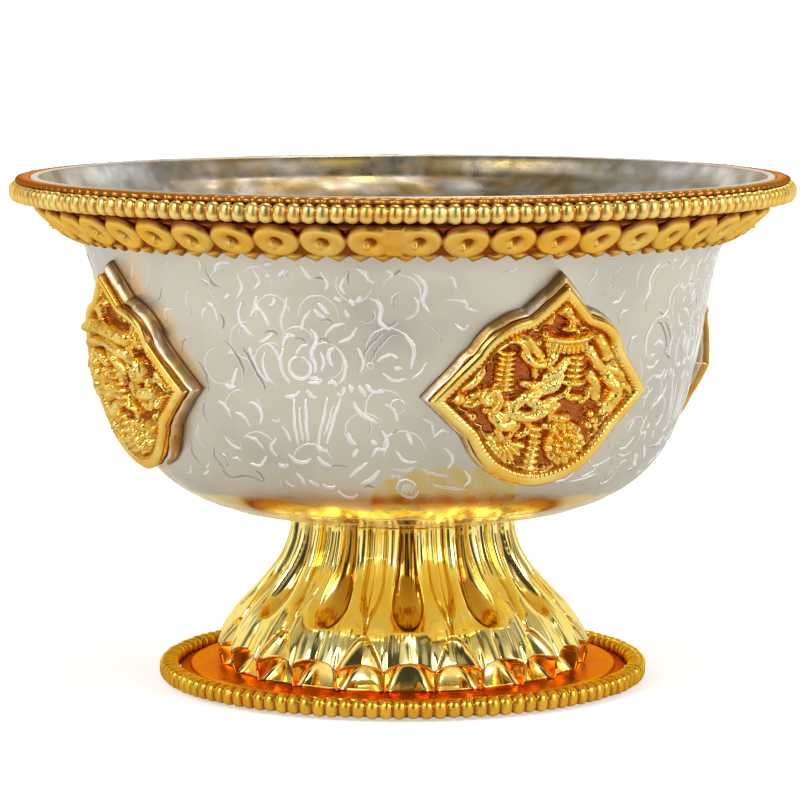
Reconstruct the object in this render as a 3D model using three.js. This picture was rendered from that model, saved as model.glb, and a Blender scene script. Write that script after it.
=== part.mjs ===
import * as THREE from 'three';
import { mergeVertices } from 'three/addons/utils/BufferGeometryUtils.js';

// Water offering bowl: a raised silver bowl with a gilt beaded rim, a ring frieze, four gilt
// plaques and a petalled gilt foot on a round base plate.
// Millimetres, +Z up, origin on the floor under the middle of the base.
// The front of the bowl faces -Y.

// Fits between pieces.
const seam = 0.3; // beside a curved or faceted face
const seat = 0.05; // between flat faces that bear on each other

// Base plate and its beaded wire.
const plateThickness = 2.25; // where the foot stands
const plateHoleRadius = 19;
const plateGroundWidth = 1.5; // from the edge of the plate in to its raised middle
const plateStep = 0.7; // down to the ground beside the beads
const baseRadius = 35.9; // outside of the beads
const baseBeadRadius = 1.45;
const baseBeadLift = 0.1; // floor to the underside of the beads
const baseBeadCount = 125;

// Petalled foot.
const petalTurn = 2; // degrees from the front to the nearest main petal
const footHeight = 22.15;
const footNeckRadius = 15.9;
const footNeckBore = 13.2;
const footNeckBoreDepth = 3.65;
const footLipRadius = 27.3;
const footLipHeight = 3.15; // above the base plate
const footNeckPull = new THREE.Vector2(0, 9.2); // out from and down from the neck
const footLipPull = new THREE.Vector2(3.6, 7.4); // in from and up from the lip
const footWall = 0.9;
const petalCount = 12;
const gutterDepth = 1.5; // scooped middle of a main petal
const gutterTopShare = 0.4; // depth of the gutter at the neck, as a share
const flankDepth = 0.6; // middle of a secondary petal
const foldDepth = 2.4; // turn-in under the lip
const foldHeight = 1.45;
const footToeDepth = 2.9; // from the lip in to the wall that stands on the plate
const footToeWidth = 1.5;
const keelInset = 1.3; // from the lip in to the tip of a keel

// Fastening of the bowl to the foot.
const studRadius = 2;
const studFlangeRadius = 5;
const studFlangeThickness = 1;
const studTail = 1.2; // past the nut
const neckDiscThickness = 1.2;
const washerRadius = 5;
const washerThickness = 0.8;
const nutAcrossCorners = 8.1;
const nutHeight = 3;

// Silver bowl.
const shellWall = 1.1;
const bowlSeatRadius = 16;
const bowlUnderReach = 23.5; // how far the underside runs out before it turns up
const bowlUnderRise = 1.3;
const bellyInset = 3.5; // from the neck radius in to the pull of the belly
const bellyHeight = 12.3;
const bowlNeckRadius = 44.6;
const bowlNeckHeight = 32.4;
const flareSwell = 1.7;
const flareShare = 0.56; // how late the flare turns out, as a share of its height
const flareHeight = 14.9;
const lipThickness = 2.15;
const lipWidth = 1.1;

// Rim.
const rimRadius = 57.15; // outside of the beads
const rimBeadRadius = 1.4;
const rimBeadCount = 187;
const beadWaist = 0.4; // how far the wire is cut in between two beads
const rimBeadDrop = 0.75; // top of the lip to the top of the beads
const capThickness = 0.7;
const capInset = 0.9; // from the beads in to the edge of the cap strip

// Collar under the rim.
const collarTopDrop = 1.6; // below the lip
const collarHeight = 3.6;
const bandThickness = 0.4;
const friezeTopDrop = 0.95;
const friezeHeight = 5.7;
const skirtHeight = 1.3; // part of the frieze below the band, which closes on the silver
const skirtThickness = 0.6;
const ringCount = 50;
const ringTurn = -4.9; // degrees from the front to the middle of a ring
const ringThickness = 0.8;
const ringValley = 0.5; // how far the frieze is cut in between two rings
const ringGap = 1.1; // depth of the notch between two rings at the top
const toothDepth = 0.6;

// Plaques, measured from their middle on the wall of the bowl.
const plaqueCount = 4;
const plaqueTurn = 26.3; // degrees from the front, towards +X
const plaqueHeight = 22; // middle, above the bottom of the bowl
const plaqueTop = 16.6;
const plaqueBottom = 12.9;
const plaqueReach = 17.4;
const plaqueReachDrop = 0.4;
const upperCusp = new THREE.Vector2(4.9, 11.7);
const upperLobe = new THREE.Vector2(10, 10.4);
const upperNotch = new THREE.Vector2(11.4, 6.6);
const lowerNotch = new THREE.Vector2(11.2, -6);
const lowerLobe = new THREE.Vector2(7.5, -12.6);
const stripWall = 0.8;
const stripHeight = 2.2;
const borderWidth = 1.5;
const borderHeight = 2.9;
const fieldHeight = 1.8;
const reliefHeight = 3.5;

// How finely the round forms are divided.
const facets = 40;
const discFacets = 28;
const boltFacets = 16;
const bodyRows = 7;
const bodyInnerRows = 5;
const flareRows = 5;
const lobeSteps = 3;
const weldDistance = 1e-4;
const probe = 0.5;

// Heights that follow from the sizes above.
const footBottom = plateThickness + seat;
const footTop = footBottom + footHeight;
const bowlBottom = footTop + seat;
const neckLevel = bowlBottom + bowlNeckHeight;
const lipLevel = neckLevel + flareHeight;
const lipTop = lipLevel + lipThickness;
const rimBeadTop = lipTop - rimBeadDrop;
const lipRadius = rimRadius - 2 * rimBeadRadius - seam;
const discTop = footTop - studFlangeThickness - seat;
const discBottom = discTop - neckDiscThickness;
const washerBottom = discBottom - seat - washerThickness;
const nutBottom = washerBottom - seat - nutHeight;
const boltBore = studRadius + seam;
const bandOut = seam + bandThickness;
const friezeOut = bandOut + seam;

/** Shared corners, no collapsed faces, and faces that look outwards. */
function closedBody(source) {
  const bare = source.clone();
  bare.deleteAttribute('normal');
  bare.deleteAttribute('uv');
  const merged = mergeVertices(bare, weldDistance);
  const corners = merged.getAttribute('position');
  const [a, b, c] = [new THREE.Vector3(), new THREE.Vector3(), new THREE.Vector3()];
  const faces = [];
  let volume = 0;
  for (let i = 0; i < merged.index.count; i += 3) {
    const face = [merged.index.getX(i), merged.index.getX(i + 1), merged.index.getX(i + 2)];
    if (new Set(face).size < 3) continue;
    faces.push(face);
    a.fromBufferAttribute(corners, face[0]);
    b.fromBufferAttribute(corners, face[1]);
    c.fromBufferAttribute(corners, face[2]);
    volume += a.dot(b.cross(c));
  }
  const outward = volume < 0 ? faces.map(([p, q, r]) => [p, r, q]) : faces;
  merged.setIndex(outward.flat());
  return merged;
}

/** Closed body from a list of points and the faces between them. */
function indexedBody(points, index) {
  const geometry = new THREE.BufferGeometry().setFromPoints(points);
  geometry.setIndex(index);
  return closedBody(geometry);
}

/** Faces of the wall between two loops of `sides` points that start at `from` and `to`. */
function wallFaces(from, to, sides) {
  const faces = [];
  for (let j = 0; j < sides; j++) {
    const k = (j + 1) % sides;
    faces.push(from + j, to + j, to + k, from + j, to + k, from + k);
  }
  return faces;
}

/** Loops of equal count, each joined to the next and the last to the first. */
function tubeBody(loops) {
  const sides = loops[0].length;
  const index = loops.flatMap((loop, i) => {
    const next = (i + 1) % loops.length;
    return wallFaces(i * sides, next * sides, sides);
  });
  return indexedBody(loops.flat(), index);
}

/** Loops of equal count joined in a row, with a hub point that closes each end. */
function hubbedBody(firstHub, loops, lastHub) {
  const sides = loops[0].length;
  const index = [];
  const first = loops.length * sides;
  const last = first + 1;
  for (let i = 0; i + 1 < loops.length; i++) {
    index.push(...wallFaces(i * sides, (i + 1) * sides, sides));
  }
  const lastLoop = (loops.length - 1) * sides;
  for (let j = 0; j < sides; j++) {
    const k = (j + 1) % sides;
    index.push(first, j, k);
    index.push(last, lastLoop + k, lastLoop + j);
  }
  return indexedBody([...loops.flat(), firstHub, lastHub], index);
}

/** Ring round the axis whose section, a loop of (radius, height), may change with the angle. */
function ringBody(angles, sectionAt) {
  const loops = angles.map((angle, i) => sectionAt(i).map((point) => new THREE.Vector3(
    point.x * Math.cos(angle),
    point.x * Math.sin(angle),
    point.y,
  )));
  return tubeBody(loops);
}

/** Revolved body: the profile starts and ends on the axis, or closes on itself. */
function turned(profile, segments) {
  const geometry = new THREE.LatheGeometry(profile, segments);
  geometry.rotateX(Math.PI / 2);
  return closedBody(geometry);
}

/** Flat ring between two radii and two heights. */
function turnedRing(innerRadius, outerRadius, bottom, top, segments) {
  const profile = [
    new THREE.Vector2(innerRadius, bottom),
    new THREE.Vector2(outerRadius, bottom),
    new THREE.Vector2(outerRadius, top),
    new THREE.Vector2(innerRadius, top),
    new THREE.Vector2(innerRadius, bottom),
  ];
  return turned(profile, segments);
}

function evenAngles(count) {
  return Array.from({ length: count }, (unused, i) => (i / count) * 2 * Math.PI);
}

/** Beaded wire: full at the middle of each bead and cut in between two beads. */
function beadedWire(outerRadius, beadRadius, level, count) {
  const axis = outerRadius - beadRadius;
  return ringBody(evenAngles(2 * count), (step) => {
    const size = step % 2 === 0 ? beadRadius : beadRadius - beadWaist;
    return [
      new THREE.Vector2(axis - size, level),
      new THREE.Vector2(axis, level + size),
      new THREE.Vector2(axis + size, level),
      new THREE.Vector2(axis, level - size),
    ];
  });
}

// Outside of the silver wall: a full belly up to the neck, then a flare out to the lip.
const bellyCurve = new THREE.CubicBezierCurve(
  new THREE.Vector2(bowlSeatRadius, bowlBottom),
  new THREE.Vector2(bowlSeatRadius + bowlUnderReach, bowlBottom + bowlUnderRise),
  new THREE.Vector2(bowlNeckRadius - bellyInset, bowlBottom + bellyHeight),
  new THREE.Vector2(bowlNeckRadius, neckLevel),
);
const flareTurn = new THREE.Vector2(bowlNeckRadius + flareSwell, neckLevel + flareShare * flareHeight);
const flareCurve = new THREE.CubicBezierCurve(
  new THREE.Vector2(bowlNeckRadius, neckLevel),
  flareTurn,
  flareTurn,
  new THREE.Vector2(lipRadius, lipLevel),
);
const wallPoints = [...bellyCurve.getPoints(80), ...flareCurve.getPoints(40).slice(1)];

/** Radius of the outside of the silver wall at a height. */
function wallRadius(z) {
  const found = wallPoints.findIndex((point) => point.y >= z);
  const upper = THREE.MathUtils.clamp(found < 0 ? wallPoints.length - 1 : found, 1, wallPoints.length - 1);
  const [low, high] = [wallPoints[upper - 1], wallPoints[upper]];
  return low.x + ((high.x - low.x) * (z - low.y)) / (high.y - low.y);
}

/** Point that stands off the outside of the silver wall by `out`, as (radius, height). */
function offWall(z, out) {
  const low = Math.max(z - probe, bowlBottom);
  const high = Math.min(z + probe, lipLevel);
  const slope = (wallRadius(high) - wallRadius(low)) / (high - low);
  const normal = new THREE.Vector2(1, -slope).normalize();
  return new THREE.Vector2(wallRadius(z) + out * normal.x, z + out * normal.y);
}

function basePlate() {
  const edge = baseRadius - 2 * baseBeadRadius - seam;
  const raisedEdge = edge - plateGroundWidth;
  const profile = [
    new THREE.Vector2(plateHoleRadius, 0),
    new THREE.Vector2(edge, 0),
    new THREE.Vector2(edge, plateThickness - plateStep),
    new THREE.Vector2(raisedEdge, plateThickness - plateStep),
    new THREE.Vector2(raisedEdge, plateThickness),
    new THREE.Vector2(plateHoleRadius, plateThickness),
    new THREE.Vector2(plateHoleRadius, 0),
  ];
  return turned(profile, facets);
}

function baseBeadWire() {
  return beadedWire(baseRadius, baseBeadRadius, baseBeadLift + baseBeadRadius, baseBeadCount);
}

// Ridge line of the foot, from the neck down to the lip.
const ridgeCurve = new THREE.CubicBezierCurve(
  new THREE.Vector2(footNeckRadius, footTop),
  new THREE.Vector2(footNeckRadius + footNeckPull.x, footTop - footNeckPull.y),
  new THREE.Vector2(footLipRadius - footLipPull.x, footBottom + footLipHeight + footLipPull.y),
  new THREE.Vector2(footLipRadius, footBottom + footLipHeight),
);
const ridgeSteps = [0, 0.18, 0.36, 0.54, 0.7, 0.84, 0.94, 1];
const innerSteps = [0.84, 0.54];

// One main petal and one secondary petal, in degrees from the middle of the main petal.
const petalLines = [
  { turn: 3.2, depth: gutterDepth, keel: false },
  { turn: 7.5, depth: 0, keel: true },
  { turn: 12, depth: flankDepth, keel: false },
  { turn: 18, depth: flankDepth, keel: false },
  { turn: 22.5, depth: 0, keel: true },
  { turn: 26.8, depth: gutterDepth, keel: false },
];
const petalPitch = 30;

/** Share of its full depth that a gutter has along the ridge line: it runs out above the lip. */
function gutterShare(t) {
  const fade = 1 - THREE.MathUtils.smoothstep(t, 0.8, 1);
  return (gutterTopShare + (1 - gutterTopShare) * t) * fade;
}

/** Section of the foot along one line of a petal: outside down to the plate, then inside up. */
function petalSection(line) {
  const outside = ridgeSteps.map((t) => {
    const ridge = ridgeCurve.getPoint(t);
    return new THREE.Vector2(ridge.x - line.depth * gutterShare(t), ridge.y);
  });
  const foldRadius = line.keel ? footLipRadius : footLipRadius - foldDepth;
  const toeRadius = line.keel ? footLipRadius - keelInset : footLipRadius - footToeDepth;
  const toeInner = footLipRadius - footToeDepth - footToeWidth;
  const inside = innerSteps.map((t) => {
    const ridge = ridgeCurve.getPoint(t);
    return new THREE.Vector2(ridge.x - gutterDepth - footWall, ridge.y);
  });
  return [
    ...outside,
    new THREE.Vector2(foldRadius, footBottom + foldHeight),
    new THREE.Vector2(toeRadius, footBottom),
    new THREE.Vector2(toeInner, footBottom),
    ...inside,
    new THREE.Vector2(footNeckBore, footTop - footNeckBoreDepth),
    new THREE.Vector2(footNeckBore, footTop),
  ];
}

function footShell() {
  const shrink = 360 / (petalPitch * petalCount);
  const turns = Array.from({ length: petalCount }, (unused, i) => petalLines.map((line) => ({
    line,
    angle: THREE.MathUtils.degToRad(petalTurn + (i * petalPitch + line.turn) * shrink - 90),
  }))).flat();
  return ringBody(turns.map((entry) => entry.angle), (i) => petalSection(turns[i].line));
}

function neckDisc() {
  return turnedRing(boltBore, footNeckBore - seam, discBottom, discTop, discFacets);
}

function bowlStud() {
  const flangeBottom = footTop - studFlangeThickness;
  const profile = [
    new THREE.Vector2(0, nutBottom - studTail),
    new THREE.Vector2(studRadius, nutBottom - studTail),
    new THREE.Vector2(studRadius, flangeBottom),
    new THREE.Vector2(studFlangeRadius, flangeBottom),
    new THREE.Vector2(studFlangeRadius, footTop),
    new THREE.Vector2(0, footTop),
  ];
  return turned(profile, boltFacets);
}

function studWasher() {
  return turnedRing(boltBore, washerRadius, washerBottom, washerBottom + washerThickness, boltFacets);
}

function studNut() {
  const corners = evenAngles(6).map((angle) => new THREE.Vector2(
    (nutAcrossCorners / 2) * Math.cos(angle),
    (nutAcrossCorners / 2) * Math.sin(angle),
  ));
  const outline = new THREE.Shape(corners);
  const bore = new THREE.Path();
  bore.setFromPoints(evenAngles(boltFacets).map((angle) => new THREE.Vector2(
    boltBore * Math.cos(angle),
    boltBore * Math.sin(angle),
  )));
  outline.holes.push(bore);
  const geometry = new THREE.ExtrudeGeometry(outline, { depth: nutHeight, bevelEnabled: false });
  geometry.translate(0, 0, nutBottom);
  return closedBody(geometry);
}

function bowlShell() {
  const outside = [
    ...bellyCurve.getPoints(bodyRows),
    ...flareCurve.getPoints(flareRows).slice(1),
  ];
  const innerHeights = [
    flareCurve.getPoint(0.8).y,
    flareCurve.getPoint(0.4).y,
    ...bellyCurve.getPoints(bodyInnerRows).reverse().map((point) => point.y),
  ];
  const profile = [
    new THREE.Vector2(0, bowlBottom),
    ...outside,
    new THREE.Vector2(lipRadius, lipTop),
    new THREE.Vector2(lipRadius - lipWidth, lipTop),
    ...innerHeights.map((height) => offWall(height, -shellWall)),
    new THREE.Vector2(0, bowlBottom + shellWall),
  ];
  return turned(profile, facets);
}

function rimBeadWire() {
  return beadedWire(rimRadius, rimBeadRadius, rimBeadTop - rimBeadRadius, rimBeadCount);
}

function rimCapStrip() {
  const bottom = rimBeadTop + seat;
  return turnedRing(lipRadius + seam, rimRadius - capInset, bottom, bottom + capThickness, facets);
}

/** Sheet that lies round the flare: its section runs up the inside and down the outside. */
function collarBand() {
  const top = lipLevel - collarTopDrop;
  const levels = [top - collarHeight, top - collarHeight / 2, top];
  const profile = [
    ...levels.map((level) => offWall(level, seam)),
    ...levels.toReversed().map((level) => offWall(level, bandOut)),
    offWall(levels[0], seam),
  ];
  return turned(profile, facets);
}

/** Band of touching rings: notched between the rings at the top, two teeth a ring below. */
function collarRingFrieze() {
  const top = lipLevel - friezeTopDrop;
  const middle = top - friezeHeight + skirtHeight;
  const angles = evenAngles(4 * ringCount).map((angle) => (
    angle + THREE.MathUtils.degToRad(ringTurn - 90)
  ));
  return ringBody(angles, (step) => {
    const between = step % 4 === 2;
    const tip = step % 2 === 1;
    const upper = between ? top - ringGap : top;
    const lower = top - friezeHeight + (tip ? 0 : toothDepth);
    const face = friezeOut + ringThickness - (between ? ringValley : 0);
    return [
      offWall(lower, seam),
      offWall(middle, friezeOut),
      offWall(upper, friezeOut),
      offWall(upper, face),
      offWall(middle, face),
      offWall(lower, seam + skirtThickness),
    ];
  });
}

/** Barbed outline: a lobe between cusps on each of the four sides, rounder at the foot. */
function plaqueOutline() {
  const half = new THREE.Path();
  half.moveTo(0, plaqueTop);
  half.lineTo(upperCusp.x, upperCusp.y);
  half.quadraticCurveTo(upperLobe.x, upperLobe.y, upperNotch.x, upperNotch.y);
  half.lineTo(plaqueReach, -plaqueReachDrop);
  half.lineTo(lowerNotch.x, lowerNotch.y);
  half.quadraticCurveTo(lowerLobe.x, lowerLobe.y, 0, -plaqueBottom);
  const right = half.getPoints(lobeSteps);
  const left = right.slice(1, -1).reverse().map((point) => new THREE.Vector2(-point.x, point.y));
  return [...right, ...left];
}

function insetOutline(points, distance) {
  return points.map((point) => point.clone().setLength(point.length() - distance));
}

/** Carries a flat plaque point onto the wall of the bowl, `out` away from the silver. */
function onWall(turn, point, out) {
  const level = bowlBottom + plaqueHeight + point.y;
  const place = offWall(level, out);
  const angle = turn - Math.PI / 2 + point.x / wallRadius(level);
  return new THREE.Vector3(place.x * Math.cos(angle), place.x * Math.sin(angle), place.y);
}

/** Wall that the plaque sits in, standing on the silver. */
function plaqueStrip(turn) {
  const outer = plaqueOutline();
  const inner = insetOutline(outer, stripWall);
  return tubeBody(outer.map((point, i) => [
    onWall(turn, point, seam),
    onWall(turn, point, stripHeight),
    onWall(turn, inner[i], stripHeight),
    onWall(turn, inner[i], seam),
  ]));
}

/** Front of the plaque: raised border, sunk field, and the mass that the emblem is chased in. */
function plaqueRelief(turn) {
  const edge = insetOutline(plaqueOutline(), stripWall + seam);
  const inBorder = insetOutline(edge, borderWidth);
  const scaled = (points, share) => points.map((point) => point.clone().multiplyScalar(share));
  const loopAt = (points, out) => points.map((point) => onWall(turn, point, out));
  const middle = new THREE.Vector2(0, 0);
  const loops = [
    loopAt(scaled(edge, 0.35), seam),
    loopAt(scaled(edge, 0.7), seam),
    loopAt(edge, seam),
    loopAt(edge, borderHeight),
    loopAt(inBorder, borderHeight),
    loopAt(scaled(inBorder, 0.94), fieldHeight),
    loopAt(scaled(inBorder, 0.7), fieldHeight),
    loopAt(scaled(inBorder, 0.55), reliefHeight),
  ];
  return hubbedBody(onWall(turn, middle, seam), loops, onWall(turn, middle, reliefHeight));
}

const gilt = { color: 0xe0a432, roughness: 0.22, metalness: 1 };
const mattGilt = { color: 0xc09a3a, roughness: 0.45, metalness: 1 };
const coppery = { color: 0xd9763a, roughness: 0.35, metalness: 1 };
const silver = { color: 0xcac8c1, roughness: 0.3, metalness: 1 };
const brass = { color: 0xb5924c, roughness: 0.5, metalness: 1 };

const offeringBowl = new THREE.Group();

function addPiece(name, geometry, finish) {
  const material = new THREE.MeshStandardMaterial({ ...finish, flatShading: true });
  const mesh = new THREE.Mesh(geometry, material);
  mesh.name = name;
  offeringBowl.add(mesh);
}

addPiece('base_plate', basePlate(), coppery);
addPiece('base_bead_wire', baseBeadWire(), gilt);
addPiece('foot_shell', footShell(), gilt);
addPiece('foot_neck_disc', neckDisc(), brass);
addPiece('bowl_stud', bowlStud(), brass);
addPiece('stud_washer', studWasher(), brass);
addPiece('stud_nut', studNut(), brass);
addPiece('bowl_shell', bowlShell(), silver);
addPiece('rim_bead_wire', rimBeadWire(), gilt);
addPiece('rim_cap_strip', rimCapStrip(), gilt);
addPiece('collar_band', collarBand(), mattGilt);
addPiece('collar_ring_frieze', collarRingFrieze(), mattGilt);

const plaquePlaces = ['front_right', 'back_right', 'back_left', 'front_left'];
for (let i = 0; i < plaqueCount; i++) {
  const turn = THREE.MathUtils.degToRad(plaqueTurn + (360 / plaqueCount) * i);
  addPiece(`plaque_strip_${plaquePlaces[i]}`, plaqueStrip(turn), silver);
  addPiece(`plaque_relief_${plaquePlaces[i]}`, plaqueRelief(turn), gilt);
}

export default offeringBowl;
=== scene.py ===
"""Water offering bowl: a raised silver bowl with a gilt rim, frieze, plaques, foot and base.

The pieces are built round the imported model: +Z up, the front towards -Y. Sizes inside the
classes are in millimetres, and every mesh is made in metres.
"""

import logging
import math
from dataclasses import dataclass
from enum import Enum

import bpy
import numpy as np
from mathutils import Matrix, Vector


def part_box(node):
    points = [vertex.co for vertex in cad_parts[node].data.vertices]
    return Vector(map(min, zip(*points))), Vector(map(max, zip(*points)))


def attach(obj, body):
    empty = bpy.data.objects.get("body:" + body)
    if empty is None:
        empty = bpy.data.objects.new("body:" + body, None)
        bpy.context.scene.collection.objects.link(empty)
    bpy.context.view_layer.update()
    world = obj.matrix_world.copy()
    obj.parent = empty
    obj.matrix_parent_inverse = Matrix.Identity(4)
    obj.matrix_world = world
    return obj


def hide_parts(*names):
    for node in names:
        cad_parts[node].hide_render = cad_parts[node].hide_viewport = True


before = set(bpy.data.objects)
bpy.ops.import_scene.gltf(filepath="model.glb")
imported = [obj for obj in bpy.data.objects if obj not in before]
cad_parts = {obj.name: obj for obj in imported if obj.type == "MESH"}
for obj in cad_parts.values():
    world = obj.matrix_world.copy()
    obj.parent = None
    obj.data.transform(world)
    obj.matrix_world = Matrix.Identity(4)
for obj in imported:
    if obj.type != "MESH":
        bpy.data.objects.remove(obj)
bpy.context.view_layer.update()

MM = 0.001
BODY = "root"
Array = np.ndarray
Colour = tuple[float, float, float, float]
LOG = logging.getLogger("offering_bowl")


def low_mm(node: str) -> Vector:
    """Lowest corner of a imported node, in millimetres."""
    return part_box(node)[0] / MM


def high_mm(node: str) -> Vector:
    """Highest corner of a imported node, in millimetres."""
    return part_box(node)[1] / MM


def unit(value: Array) -> Array:
    """Value held between 0 and 1."""
    return np.clip(value, 0.0, 1.0)


def ease(value: Array, start: float, end: float) -> Array:
    """Smooth step from 0 at start to 1 at end.

    Args:
        value: Where to read the step.
        start: Value at which it leaves 0.
        end: Value at which it reaches 1.

    Returns:
        The step, from 0 to 1.
    """
    share = unit((value - start) / (end - start))
    return share * share * (3.0 - 2.0 * share)


def bump(distance: Array, width: float) -> Array:
    """Soft hill, 1 at no distance and near 0 past two widths."""
    return np.exp(-((distance / width) ** 2))


def all_round(values: Array | list[float] | tuple, columns: int) -> Array:
    """The same values at every angle, one row a value."""
    return np.repeat(np.asarray(values, float).reshape(-1, 1), columns, axis=1)


def put(name: str, data: object) -> bpy.types.Object:
    """Object made of some data, in the scene."""
    made = bpy.data.objects.new(name, data)
    bpy.context.scene.collection.objects.link(made)
    return made


def point_along(thing: bpy.types.Object, way: Vector) -> None:
    """Turns a camera or a lamp to look along a way."""
    thing.rotation_mode = "QUATERNION"
    thing.rotation_quaternion = way.to_track_quat("-Z", "Y")


def smooth_path(points: list[tuple[float, float]] | Array, steps: int = 8) -> Array:
    """Smooth curve through a few points.

    Args:
        points: Points that the curve goes through.
        steps: Divisions between two points.

    Returns:
        Points close together along the curve.
    """
    given = np.asarray(points, float)
    ends = np.vstack([2 * given[0] - given[1], given, 2 * given[-1] - given[-2]])
    t = np.linspace(0.0, 1.0, steps, endpoint=False)[:, None]
    parts = []
    for before, here, there, after in zip(ends, ends[1:], ends[2:], ends[3:]):
        linear = (there - before) * t
        square = (2 * before - 5 * here + 4 * there - after) * t**2
        cube = (3 * here - before - 3 * there + after) * t**3
        parts.append(0.5 * (2 * here + linear + square + cube))
    return np.vstack([*parts, given[-1:]])


def arc(x: float, y: float, radius: float, start: float, end: float, steps: int = 14) -> Array:
    """Circular arc.

    Args:
        x: Across to its centre.
        y: Up to its centre.
        radius: Its radius.
        start: First angle, in degrees.
        end: Last angle, in degrees.
        steps: Number of points.

    Returns:
        Points along the arc.
    """
    angle = np.radians(np.linspace(start, end, steps))
    return np.column_stack([x + radius * np.cos(angle), y + radius * np.sin(angle)])


def bezier(points: list[tuple[float, float]], count: int) -> Array:
    """Evenly stepped points along the cubic curve of four control points."""
    t = np.linspace(0.0, 1.0, count)[:, None]
    pulls = [(1 - t) ** 3, 3 * t * (1 - t) ** 2, 3 * t**2 * (1 - t), t**3]
    return sum(pull * np.array(point, float) for pull, point in zip(pulls, points))


def path_distance(u: Array, v: Array, path: Array) -> Array:
    """Distance of points from a path.

    Args:
        u: Across to each point.
        v: Up to each point.
        path: Points of the path.

    Returns:
        The distance of each point.
    """
    best = np.full(u.shape, np.inf)
    for start, end in zip(path[:-1], path[1:]):
        step = end - start
        share = ((u - start[0]) * step[0] + (v - start[1]) * step[1]) / max(step @ step, 1e-9)
        share = unit(share)
        best = np.minimum(best, np.hypot(u - start[0] - share * step[0], v - start[1] - share * step[1]))
    return best


def spiral(x: float, y: float, radius: float, start: float, turns: float) -> Array:
    """Scroll that winds in towards its centre.

    Args:
        x: Across to its centre.
        y: Up to its centre.
        radius: Radius where it starts.
        start: Angle where it starts, in degrees.
        turns: Turns to the centre, below 0 for clockwise.

    Returns:
        Points along the scroll.
    """
    share = np.linspace(0.0, 1.0, int(10 + 22 * abs(turns)))
    angle = math.radians(start) + 2 * math.pi * turns * share
    reach = radius * (1.0 - 0.86 * share**0.8)
    return np.column_stack([x + reach * np.cos(angle), y + reach * np.sin(angle)])


def grid_faces(rows: int, columns: int, wrap_rows: bool, wrap_columns: bool = True) -> Array:
    """Four-sided faces of a grid of points.

    Args:
        rows: Rows of points.
        columns: Points in a row.
        wrap_rows: Whether the last row joins the first.
        wrap_columns: Whether the last point of a row joins its first.

    Returns:
        One row of four point numbers a face.
    """
    i = np.arange(rows if wrap_rows else rows - 1)[:, None]
    j = np.arange(columns if wrap_columns else columns - 1)[None, :]
    next_i = (i + 1) % rows
    next_j = (j + 1) % columns
    corners = [i * columns + j, i * columns + next_j, next_i * columns + next_j, next_i * columns + j]
    return np.stack(corners, axis=-1).reshape(-1, 4)


class Shader:
    """Node tree of a material or a world, with short calls that add and link nodes."""

    def __init__(self, owner: bpy.types.Material | bpy.types.World) -> None:
        """Starts from an empty tree."""
        owner.use_nodes = True
        self.tree = owner.node_tree
        self.tree.nodes.clear()

    def add(self, kind: str, inputs: dict | None = None, **settings: object) -> bpy.types.Node:
        """Adds a node.

        Args:
            kind: Name of its class after ShaderNode.
            inputs: Socket name or number to a value, or to the socket that feeds it.
            **settings: Properties of the node.

        Returns:
            The node.
        """
        node = self.tree.nodes.new("ShaderNode" + kind)
        for name, value in settings.items():
            setattr(node, name, value)
        for key, value in (inputs or {}).items():
            if isinstance(value, bpy.types.NodeSocket):
                self.tree.links.new(value, node.inputs[key])
            else:
                node.inputs[key].default_value = value
        return node

    def maths(self, operation: str, first: object, second: object = 0.0) -> bpy.types.NodeSocket:
        """Result of a sum, product or function of one or two values."""
        return self.add("Math", {0: first, 1: second}, operation=operation).outputs[0]

    def noise(self, place: bpy.types.NodeSocket, size: float, detail: float) -> bpy.types.NodeSocket:
        """Cloudy noise whose patches are about `size` metres across."""
        inputs = {"Vector": place, "Scale": 1.0 / size, "Detail": detail}
        return self.add("TexNoise", inputs).outputs[0]

    def spread(self, value: object, low: float, high: float, to_low: float,
               to_high: float) -> bpy.types.NodeSocket:
        """Maps a range of values to another, held at its ends."""
        inputs = {0: value, 1: low, 2: high, 3: to_low, 4: to_high}
        return self.add("MapRange", inputs).outputs[0]

    def blend(self, share: object, first: object, second: object) -> bpy.types.NodeSocket:
        """Colour between two colours."""
        return self.add("Mix", {0: share, 6: first, 7: second}, data_type="RGBA").outputs[2]

    def rays(self) -> tuple[bpy.types.NodeSocket, bpy.types.NodeSocket]:
        """Whether a ray comes from the camera, and whether by way of metal or glass."""
        path = self.add("LightPath").outputs
        mirrored = self.maths("MAXIMUM", path["Is Glossy Ray"], path["Is Transmission Ray"])
        return path["Is Camera Ray"], mirrored

    def point_value(self, name: str) -> bpy.types.NodeSocket:
        """Value that the mesh holds at each point."""
        return self.add("Attribute", attribute_name=name).outputs["Fac"]


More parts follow.
